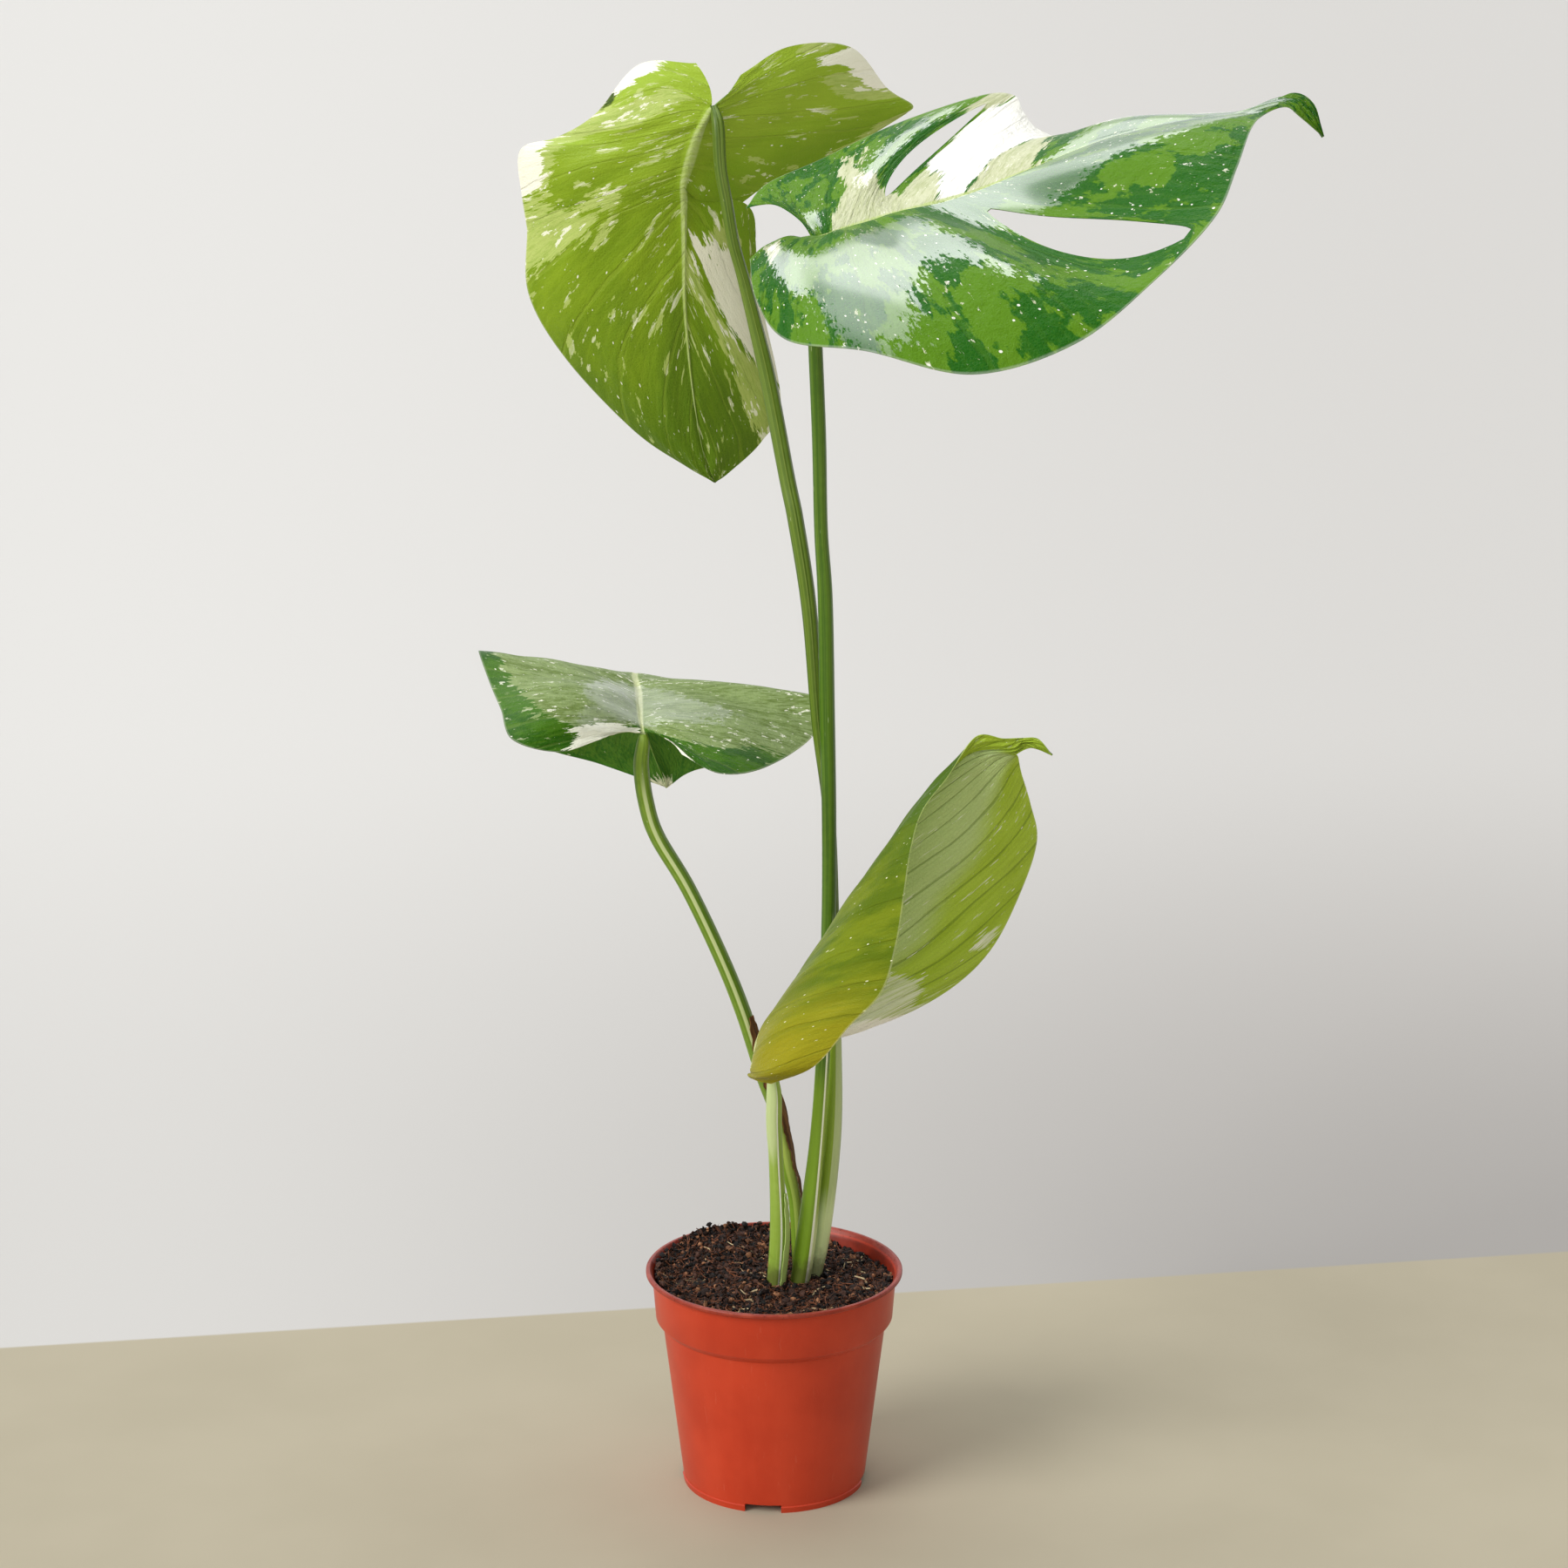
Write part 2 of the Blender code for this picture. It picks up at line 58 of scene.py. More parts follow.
class Wire:
    """One value in a material. Arithmetic on wires adds the Math nodes; node() adds any other."""

    def __init__(self, tree, socket=None):
        self.tree = tree
        self.socket = socket

    def node(self, kind, settings=(), sockets=(), out=0):
        made = self.tree.nodes.new("ShaderNode" + kind)
        for name, value in dict(settings).items():
            setattr(made, name, value)
        for name, value in dict(sockets).items():
            if isinstance(value, Wire):
                self.tree.links.new(value.socket, made.inputs[name])
            else:
                made.inputs[name].default_value = value
        return Wire(self.tree, made.outputs[out])

    def math(self, operation, first, second=0.0):
        return self.node("Math", {"operation": operation}, {0: first, 1: second})

    def __add__(self, other):
        return self.math('ADD', self, other)

    def __sub__(self, other):
        return self.math('SUBTRACT', self, other)

    def __rsub__(self, other):
        return self.math('SUBTRACT', other, self)

    def __mul__(self, other):
        return self.math('MULTIPLY', self, other)

    def __truediv__(self, other):
        return self.math('DIVIDE', self, other)

    def __rtruediv__(self, other):
        return self.math('DIVIDE', other, self)

    def __or__(self, other):
        """The larger of the two."""
        return self.math('MAXIMUM', self, other)

    __radd__ = __add__
    __rmul__ = __mul__
    __ror__ = __or__

    def __abs__(self):
        return self.math('ABSOLUTE', self)

    def beat(self):
        """Distance to the nearest whole number."""
        return self.math('PINGPONG', self, 0.5)

    def rise(self, low, high, to_low=0.0, to_high=1.0):
        """Smooth climb from to_low to to_high as the value goes from low to high."""
        ends = {"From Min": low, "From Max": high, "To Min": to_low, "To Max": to_high}
        return self.node("MapRange", {"interpolation_type": 'SMOOTHSTEP'}, {"Value": self, **ends})

    def between(self, under, over):
        """Mixes two colours by this value: under at 0, over at 1."""
        return self.node("Mix", {"data_type": 'RGBA'}, {0: self, 6: under, 7: over}, out=2)

    def stretch(self, scale, place=(0, 0, 0)):
        return self.node("Mapping", (), {"Vector": self, "Scale": scale, "Location": place})

    def noise(self, scale, detail=3.0, rough=0.55):
        look = {"Scale": scale, "Detail": detail, "Roughness": rough}
        return self.node("TexNoise", (), {"Vector": self, **look})

    def axis(self, name):
        return self.node("SeparateXYZ", (), {"Vector": self}, out=name)


def tint(red, green, blue):
    """A paint-chart colour, 0 to 255, as the shader wants it."""
    chart = np.array([red, green, blue]) / 255.0
    linear = np.where(chart > 0.04045, ((chart + 0.055) / 1.055) ** 2.4, chart / 12.92)
    return (*[float(c) for c in linear], 1.0)


def new_finish(name, **fixed):
    """An empty finish: the material, a wire to start from, and its shader."""
    made = bpy.data.materials.new(name)
    made.use_nodes = True
    shader = made.node_tree.nodes["Principled BSDF"]
    for socket, value in fixed.items():
        shader.inputs[socket.replace("_", " ").title().replace("Ior", "IOR")].default_value = value
    return made, Wire(made.node_tree), shader


def lay_on(wire, shader, socket):
    """Joins a wire to one socket of the shader."""
    wire.tree.links.new(wire.socket, shader.inputs[socket])


def raise_grain(height, shader, depth):
    """Feeds a height wire into the shader's normal, depth in metres."""
    lay_on(height.node("Bump", (), {"Height": height, "Distance": depth, "Strength": 1.0}), shader, "Normal")


def choose(obj):
    """Makes one object the only selected one, and the active one."""
    bpy.ops.object.select_all(action='DESELECT')
    obj.select_set(True)
    bpy.context.view_layer.objects.active = obj


def apply_modifier(obj, kind, **settings):
    """Adds one modifier and puts its result into the mesh."""
    choose(obj)
    tool = obj.modifiers.new(kind.lower(), kind)
    for name, value in settings.items():
        setattr(tool, name, value)
    bpy.ops.object.modifier_apply(modifier=tool.name)


def settle(obj, angle=40):
    """Puts the object's place into its mesh and smooths its faces."""
    choose(obj)
    bpy.ops.object.transform_apply(location=True, rotation=True, scale=True)
    bpy.ops.object.shade_smooth_by_angle(angle=radians(angle))


def belongs(obj, slot, *nodes):
    """Everything here rides in the one body; nodes are the plain solids that the piece stands for."""
    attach(obj, "root")
    if nodes:
        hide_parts(*nodes)


_, pot_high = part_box("pot")
rim = pot_high.x / MM
pot_height = pot_high.z / MM
raised_base = rim - 20.0
foot = 42.9
collar_foot = 82.0
# Radius and height round the moulding's section: from the raised base up the outside, over the rolled
# lip, and down the inside to the floor.
wall = [
    (raised_base - 0.2, 3.4), (raised_base, 0.0), (foot, 0.0), (foot + 0.6, 2.8), (foot + 0.1, 3.2),
    (52.2, 78.4), (55.2, 81.4), (55.5, collar_foot), (57.1, 102.4), (59.4, 102.9), (60.0, 103.3),
    (60.0, 104.3), (59.6, 104.8), (58.9, pot_height), (58.2, 104.9), (57.6, 104.3), (55.9, 101.0),
    (54.0, 82.0), (50.8, 78.6), (42.0, 6.2), (40.5, 5.2)]

bpy.ops.mesh.primitive_circle_add(vertices=160, radius=wall[0][0] * MM, fill_type='NGON',
                                  location=(0, 0, wall[0][1] * MM))
pot = bpy.context.object
pot.name = "moulded_pot"
bpy.ops.object.mode_set(mode='EDIT')
for (radius, height), (next_radius, next_height) in zip(wall, wall[1:]):
    bpy.ops.mesh.extrude_region_move(TRANSFORM_OT_translate={"value": (0, 0, (next_height - height) * MM)})
    grow = next_radius / radius
    bpy.ops.transform.resize(value=(grow, grow, 1), center_override=(0, 0, next_height * MM))
bpy.ops.mesh.select_all(action='SELECT')
bpy.ops.mesh.normals_make_consistent(inside=False)
bpy.ops.object.mode_set(mode='OBJECT')


def carve(obj, tool):
    """Cuts a closed tool shape out of the piece and throws the tool away."""
    apply_modifier(obj, 'BOOLEAN', operation='DIFFERENCE', solver='EXACT', object=tool)
    bpy.data.objects.remove(tool, do_unlink=True)


drain_holes, drain_ring, drain_radius = 6, 27, 3.6
for number in range(drain_holes):
    turn = radians(11 + 360 / drain_holes * number)
    bpy.ops.mesh.primitive_cylinder_add(
        vertices=32, radius=drain_radius * MM, depth=12 * MM,
        location=(drain_ring * MM * cos(turn), drain_ring * MM * sin(turn), 4 * MM))
    carve(pot, bpy.context.object)
foot_notches, notch_ring = 4, 42
for number in range(foot_notches):
    turn = radians(-97 + 360 / foot_notches * number)
    bpy.ops.mesh.primitive_cube_add(
        size=1, rotation=(0, 0, turn), scale=(6 * MM, 17 * MM, 8.6 * MM),
        location=(notch_ring * MM * cos(turn), notch_ring * MM * sin(turn), -0.4 * MM))
    carve(pot, bpy.context.object)
settle(pot, 32)

plastic, start, shader = new_finish("terracotta_plastic", specular_ior_level=0.35)
place = start.node("TexCoord", out="Object")
clouds = place.noise(28, 3)
flow_marks = place.stretch((90, 90, 9)).noise(1.0, 4)
grain = place.noise(2600, 2)
scuff = place.stretch((420, 420, 60)).noise(1.0, 5, 0.7).rise(0.62, 0.75)
height_up = place.axis("Z")
muddy = (place.noise(520, 5, 0.7) + height_up.rise(0.097, 0.104) * 0.14).rise(0.7, 0.8)
worn_lip = height_up.rise(0.1015, 0.1045) * place.noise(160, 4).rise(0.35, 0.7)
colour = clouds.rise(0.3, 0.7).between(tint(183, 53, 25), tint(197, 62, 32))
colour = (flow_marks.rise(0.35, 0.8) * 0.3).between(colour, tint(204, 74, 44))
# Painted shade: the rolled lip, from 102.5 mm up, is painted a darker red.
lip_painted_shade = height_up.rise(0.1025, 0.1035)
colour = (lip_painted_shade * 0.75).between(colour, tint(122, 40, 28))
colour = (worn_lip * 0.25).between(colour, tint(206, 100, 74))
from_axis = place.node("VectorMath", {"operation": 'LENGTH'}, {0: place.stretch((1, 1, 0))}, out="Value")
# The inside of the collar widens by 0.08 of its height; all that lies within that cone is inside.
inside = (from_axis - height_up * 0.08).rise(0.0481, 0.0486, 1.0, 0.0)
# Painted shade: the inner wall down from the rim is painted darker, in blotches that also stand for soil
# dirt.
inner_wall_shade_and_dirt = inside * height_up.rise(0.084, 0.09)
colour = (inner_wall_shade_and_dirt * (place.noise(160, 4) * 0.8 + 0.3)).between(colour, tint(104, 30, 16))
colour = (scuff * 0.2).between(colour, tint(220, 120, 92))
colour = (muddy * 0.6).between(colour, tint(84, 34, 20))
lay_on(colour, shader, "Base Color")
lay_on(flow_marks * 0.12 + scuff * 0.15 + muddy * 0.3 + 0.33, shader, "Roughness")
raise_grain(grain * 0.5 + flow_marks * 0.6 + scuff * -0.4, shader, 0.00012)
pot.data.materials.append(plastic)
belongs(pot, "pot_plastic", "pot")


# ---------------------------------------------------------------- potting soil
# Moist peat and coir filled to the collar, heaped at the back left where the plant was firmed in. A
# lumpy bed carries thousands of loose crumbs, coir threads and a few pale straws and rootlets.
def shaped_grid(name, columns, rows, shape):
    """A primitive grid whose points are moved to shape(u, v), both running from 0 to 1; millimetres."""
    bpy.ops.mesh.primitive_grid_add(x_subdivisions=columns, y_subdivisions=rows, size=1, calc_uvs=True)
    made = bpy.context.object
    made.name = name
    flat = np.zeros(len(made.data.vertices) * 3)
    made.data.vertices.foreach_get("co", flat)
    u, v = flat.reshape(-1, 3)[:, 0] + 0.5, flat.reshape(-1, 3)[:, 1] + 0.5
    made.data.vertices.foreach_set("co", (np.asarray(shape(u, v)) * MM).ravel())
    made.data.update()
    return made


def weld(obj, distance=0.00001):
    """Closes a seam or a pole, and turns all faces outwards."""
    choose(obj)
    bpy.ops.object.mode_set(mode='EDIT')
    bpy.ops.mesh.select_all(action='SELECT')
    bpy.ops.mesh.remove_doubles(threshold=distance)
    bpy.ops.mesh.normals_make_consistent(inside=False)
    bpy.ops.object.mode_set(mode='OBJECT')


def soil_level(x, y):
    """Height of the soil over a point, in millimetres."""
    heap = 4.6 * np.exp(-((x + 26) ** 2 + (y - 42) ** 2) / 700)
    dip = 2.2 * np.exp(-((x - 40) ** 2 + (y - 30) ** 2) / 500)
    lumps = 0.8 * np.sin(x / 9 + 1) * np.cos(y / 8)
    crumbs = 0.6 * np.sin(x / 3.1 + y / 4.3) * np.cos(y / 2.7 - x / 6)
    banked = 4.4 * np.exp(-((np.hypot(x, y) - 57) / 5) ** 2) * np.clip((30 - x) / 50, 0, 1)
    fill_height, tilt = 98.4, (y - x) / 76
    return fill_height + tilt + lumps + crumbs + heap - dip + banked


bed_radius = 55.4
bed_side = [(0.0, 5.7), (41.0, 5.7), (50.2, 79.0), (54.6, 96.0)]
bed_rings = 64
top_rings = bed_rings - len(bed_side)


def soil_shape(u, v):
    """The bed as rings: from its underside up its side to the rim, then over the top to its middle."""
    turn = 2 * pi * u
    ring = np.round(v * bed_rings).astype(int)
    on_side = ring < len(bed_side)
    side_radius, side_height = np.array(bed_side + [(0.0, 0.0)] * (top_rings + 1)).T
    radius = np.where(on_side, side_radius[ring], bed_radius * (bed_rings - ring) / top_rings)
    x, y = radius * np.cos(turn), radius * np.sin(turn)
    return np.stack([x, y, np.where(on_side, side_height[ring], soil_level(x, y))], 1)


soil_bed = shaped_grid("soil_bed", 144, bed_rings, soil_shape)
weld(soil_bed)
settle(soil_bed, 60)

rng = np.random.default_rng(7)


def scatter_disc(count, radius):
    """Places spread evenly over the bed."""
    turn, out = rng.uniform(0, 2 * pi, count), radius * np.sqrt(rng.uniform(0, 1, count))
    return out * np.cos(turn), out * np.sin(turn)


def random_turns(count):
    """One random rotation matrix for each copy."""
    q = rng.normal(size=(count, 4))
    q /= np.linalg.norm(q, axis=1)[:, None]
    w, x, y, z = q.T
    return np.stack([1 - 2 * (y * y + z * z), 2 * (x * y - w * z), 2 * (x * z + w * y),
                     2 * (x * y + w * z), 1 - 2 * (x * x + z * z), 2 * (y * z - w * x),
                     2 * (x * z - w * y), 2 * (y * z + w * x), 1 - 2 * (x * x + y * y)], 1).reshape(-1, 3, 3)


def strew(name, pattern, shapes, tone):
    """Copies a pattern object for every array of points in shapes, as one mesh with a tone for each copy."""
    pattern_faces = [tuple(p.vertices) for p in pattern.data.polygons]
    each = len(pattern.data.vertices)
    points = (shapes.reshape(-1, 3) * MM).tolist()
    faces = [tuple(v + each * n for v in face) for n in range(len(shapes)) for face in pattern_faces]
    mesh = bpy.data.meshes.new(name)
    mesh.from_pydata(points, [], faces)
    tones = np.repeat(tone, each).astype(np.float32)
    mesh.attributes.new("tone", 'FLOAT', 'POINT').data.foreach_set("value", tones)
    made = bpy.data.objects.new(name, mesh)
    bpy.context.collection.objects.link(made)
    bpy.data.objects.remove(pattern, do_unlink=True)
    settle(made, 60)
    return made


def own_points(obj):
    """The object's points as an array, in metres."""
    flat = np.zeros(len(obj.data.vertices) * 3)
    obj.data.vertices.foreach_get("co", flat)
    return flat.reshape(-1, 3)


crumb_count, crumb_corners = 7600, 12
bpy.ops.mesh.primitive_ico_sphere_add(subdivisions=1, radius=1.0)
crumb = bpy.context.object
lumpy = own_points(crumb) * rng.uniform(0.65, 1.25, (crumb_corners, 1))
crumb_radius = 0.35 + 1.8 * rng.beta(1.1, 4.0, crumb_count)
stretched = crumb_radius[:, None] * rng.uniform(0.6, 1.35, (crumb_count, 3))
x, y = scatter_disc(crumb_count, 55.6)
shapes = np.einsum('nij,nkj->nki', random_turns(crumb_count), lumpy[None] * stretched[:, None])
resting = soil_level(x, y) + crumb_radius * rng.uniform(-0.1, 1.3, crumb_count)
shapes += np.stack([x, y, resting], 1)[:, None]
soil_crumbs = strew("soil_crumbs", crumb, shapes, rng.uniform(0, 1, crumb_count))


thread_sides, thread_rings = 3, 8


def thread_shape(u, v):
    """A straight thread 1 mm long and 1 mm in radius; its first and last rings close it at a point."""
    turn = 2 * pi * u
    ring = np.round(v * thread_rings)
    radius = np.where((ring == 0) | (ring == thread_rings), 0.0, 1.0)
    along = np.clip((ring - 1) / (thread_rings - 2), 0, 1) - 0.5
    return np.stack([radius * np.cos(turn), radius * np.sin(turn), along], 1)


wall_reach = 54.3


def threads(name, count, length, thickness, curl, lift, tones, spread=53.0):
    """Bent threads lying over the bed within the pot's wall; lift is how far their ends rise."""
    thread = shaped_grid("one_thread", thread_sides, thread_rings, thread_shape)
    weld(thread)
    rest = own_points(thread) / MM
    along = rest[:, 2]
    long, thick = rng.uniform(*length, count), rng.uniform(*thickness, count)
    bend, wave = rng.normal(0, curl, count), rng.normal(0, curl, count)
    turn = rng.uniform(0, 2 * pi, count)
    taper = 1 - 1.2 * np.abs(along) ** 2
    forward = along[None] * long[:, None]
    bow = bend[:, None] * (4 * along[None] ** 2 - 0.5)
    ripple = wave[:, None] * np.sin(6 * along[None])
    aside = (bow + ripple) * long[:, None] * 0.25
    aside += rest[None, :, 0] * taper * thick[:, None]
    x, y = scatter_disc(count, spread)
    px = x[:, None] + forward * np.cos(turn)[:, None] - aside * np.sin(turn)[:, None]
    py = y[:, None] + forward * np.sin(turn)[:, None] + aside * np.cos(turn)[:, None]
    out = np.maximum(np.hypot(px, py), 1e-6)
    inward = np.minimum(1.0, wall_reach / out)
    px, py = px * inward, py * inward
    rise = rng.uniform(*lift, count)[:, None] * np.abs(along[None] * 2) ** 1.5
    rise = rise * rng.choice([0.2, 1.0], count)[:, None]
    above_bed = 0.5
    pz = soil_level(px, py) + above_bed + rise + rest[None, :, 1] * taper * thick[:, None]
    return strew(name, thread, np.stack([px, py, pz], 2), rng.uniform(*tones, count))


soil_fibres = threads("soil_fibres", 1700, (3, 12), (0.1, 0.34), 0.7, (0.2, 3.0), (0.0, 0.72))
soil_straws = threads("soil_straws", 28, (8, 18), (0.3, 0.5), 0.4, (0.3, 2.6), (0.8, 1.0), 50.0)

peat, start, shader = new_finish("dark_peat", roughness=0.95, specular_ior_level=0.2)
place = start.node("TexCoord", out="Object")
lumps = place.noise(420, 5, 0.7)
colour = lumps.rise(0.35, 0.7).between(tint(12, 8, 7), tint(40, 27, 22))
lay_on(colour, shader, "Base Color")
raise_grain(lumps, shader, 0.0012)
soil_bed.data.materials.append(peat)

crumbs, start, shader = new_finish("peat_crumbs", specular_ior_level=0.3)
tone = start.node("Attribute", {"attribute_name": "tone"}, out="Fac")
grit = start.node("TexCoord", out="Object").noise(900, 3)
colour = tone.rise(0.3, 0.85).between(tint(16, 11, 10), tint(84, 54, 42))
colour = tone.rise(0.88, 0.97).between(colour, tint(170, 118, 84))
colour = (grit.rise(0.4, 0.7) * 0.6).between(colour, tint(14, 9, 8))
lay_on(colour, shader, "Base Color")
lay_on(grit * 0.4 + 0.55, shader, "Roughness")
raise_grain(grit, shader, 0.0004)
soil_crumbs.data.materials.append(crumbs)

coir, start, shader = new_finish("coir_threads", specular_ior_level=0.3)
tone = start.node("Attribute", {"attribute_name": "tone"}, out="Fac")
strands = start.node("TexCoord", out="Object").noise(1200, 2)
colour = tone.rise(0.1, 0.72).between(tint(26, 16, 13), tint(142, 86, 58))
colour = tone.rise(0.74, 0.84).between(colour, tint(222, 200, 158))
colour = (strands.rise(0.4, 0.8) * 0.4).between(colour, tint(60, 36, 22))
lay_on(colour, shader, "Base Color")
lay_on(strands * 0.3 + 0.5, shader, "Roughness")
raise_grain(strands, shader, 0.0002)
for piece in (soil_fibres, soil_straws):
    piece.data.materials.append(coir)
belongs(soil_bed, "potting_soil", "soil")
for piece in (soil_crumbs, soil_fibres, soil_straws):
    belongs(piece, "potting_soil")


# ---------------------------------------------------------------- upper left blade
# A young blade seen from behind: thin, yellow-green, with a thick pale midrib, sage and cream sectors
# that follow the side veins, and a deep notch where its right half has torn open.
def spline(points, at):
    """Catmull-Rom curve through the points, read at every value of at (0 .. number of points - 1)."""
    points = np.asarray(points, float)
    ends = np.vstack([2 * points[0] - points[1], points, 2 * points[-1] - points[-2]])
    at = np.clip(at, 0.0, len(points) - 1.0)
    k = np.minimum(np.floor(at).astype(int), len(points) - 2)
    f = (at - k)[..., None]
    a, b, c, d = ends[k], ends[k + 1], ends[k + 2], ends[k + 3]
    squared, cubed = 2 * a - 5 * b + 4 * c - d, 3 * b - a - 3 * c + d
    return 0.5 * (2 * b + (c - a) * f + squared * f ** 2 + cubed * f ** 3)


def half_of(ribs, side, upper):
    """Margin ends and middles of the ribs of one half. A bow is a height, or the middle point itself."""
    feet = np.array([rib[0] for rib in ribs[:-1]] + [ribs[-1]], float)
    ahead = np.gradient(feet, axis=0)
    ends, middles = [], []
    for foot_point, rib, forward in zip(feet, ribs[:-1], ahead):
        end, bow = np.array(rib[1 + 2 * side], float), rib[2 + 2 * side]
        ends.append(end)
        if isinstance(bow, tuple):
            middles.append(bow)
            continue
        up = np.cross(forward, end - foot_point)
        up = up / np.linalg.norm(up) if np.linalg.norm(up) > 1e-6 else np.array(upper, float)
        middles.append((foot_point + end) / 2 + up * bow * (1 if up @ np.array(upper) >= 0 else -1))
    return feet, np.vstack([ends, ribs[-1]]), np.vstack([middles, ribs[-1]])


def leaf_points(ribs, upper, rib, lean, notch, eyes):
    """Points of the blade's middle surface. lean runs from -1 at the left margin to 1 at the right."""
    share = np.abs(lean)
    out = np.zeros((len(rib), 3))
    for side in (0, 1):
        feet, ends, middles = half_of(ribs, side, upper)
        at = rib.copy()
        for eye_side, k, near, far, half_width, drift in eyes:
            if eye_side != side:
                continue
            span = (share - near) / (far - near)
            open_by = 0.004 + half_width * np.sin(pi * np.clip(span, 0, 1)) ** 0.5
            centre = k + 0.5 + drift * np.where(span <= 1, np.clip(span, 0, 1) ** 2, (1 - share) / (1 - far))
            below = (rib >= k) & (rib < k + 0.5)
            above = (rib > k + 0.5) & (rib <= k + 1)
            at = np.where(below, k + (rib - k) * 2 * (centre - open_by - k), at)
            at = np.where(above, k + 1 - (k + 1 - rib) * 2 * (k + 1 - centre - open_by), at)
        end, middle = spline(ends, at), spline(middles, at)
        if notch and notch[0] == side:
            split = notch[1] + 1
            before = (rib < split - 0.5)[:, None]
            end = np.where(before, spline(ends[:split], at), spline(ends[split:], at - split))
            middle = np.where(before, spline(middles[:split], at), spline(middles[split:], at - split))
        t = share[:, None]
        points = spline(feet, at) * (1 - t) * (1 - 2 * t) + middle * 4 * t * (1 - t) + end * t * (2 * t - 1)
        pick = (lean < 0) if side == 0 else (lean >= 0)
        out[pick] = points[pick]
    return out


far_outside = -99.0


def depth_in(rib, lean, side, outline, scale):
    """How many millimetres inside an outline of (rib, share) corners each point lies; negative outside."""
    here = np.stack([rib, np.abs(lean)], 1) * scale
    corners = np.array(outline, float) * scale
    nearest, inside = np.full(len(rib), 1e9), np.zeros(len(rib), bool)
    for a, b in zip(corners, np.roll(corners, -1, axis=0)):
        edge = b - a
        reach = np.clip((here - a) @ edge / max(edge @ edge, 1e-9), 0, 1)
        nearest = np.minimum(nearest, np.linalg.norm(here - a - reach[:, None] * edge, axis=1))
        slope = edge[0] / edge[1] if abs(edge[1]) > 1e-9 else 0.0
        spans = (a[1] > here[:, 1]) != (b[1] > here[:, 1])
        inside ^= spans & (here[:, 0] < a[0] + slope * (here[:, 1] - a[1]))
    same_half = (lean >= 0) == (side == 1)
    return np.where(same_half, np.where(inside, nearest, -nearest), far_outside)


eye_edge = 0.4999
crowding = 1.15
to_decimetres = 0.01


def lean_of(u):
    """-1 at the left margin to 1 at the right; columns stand closer together near the midrib."""
    even = 2 * u - 1
    return np.sign(even) * np.abs(even) ** crowding


def tear_open(made, rib, lean, notch, eyes):
    """Deletes the faces that span the notch or an eye, so that the blade is open there."""
    choose(made)
    for poly in made.data.polygons:
        ring = list(poly.vertices)
        low, high, mid = rib[ring].min(), rib[ring].max(), lean[ring].mean()
        torn = False
        if notch:
            side, k, inner_end = notch
            torn |= low == k and high == k + 1 and (mid > 0) == (side == 1) and abs(mid) > inner_end
        for side, k, near, far, _, _ in eyes:
            torn |= abs(low - k - eye_edge) < 1e-6 and (mid > 0) == (side == 1) and near < abs(mid) < far
        poly.select = bool(torn)
    for edge in made.data.edges:
        edge.select = False
    for vert in made.data.vertices:
        vert.select = False
    bpy.ops.object.mode_set(mode='EDIT')
    bpy.ops.mesh.select_mode(type='FACE')
    bpy.ops.mesh.delete(type='ONLY_FACE')
    bpy.ops.mesh.select_mode(type='VERT')
    bpy.ops.object.mode_set(mode='OBJECT')


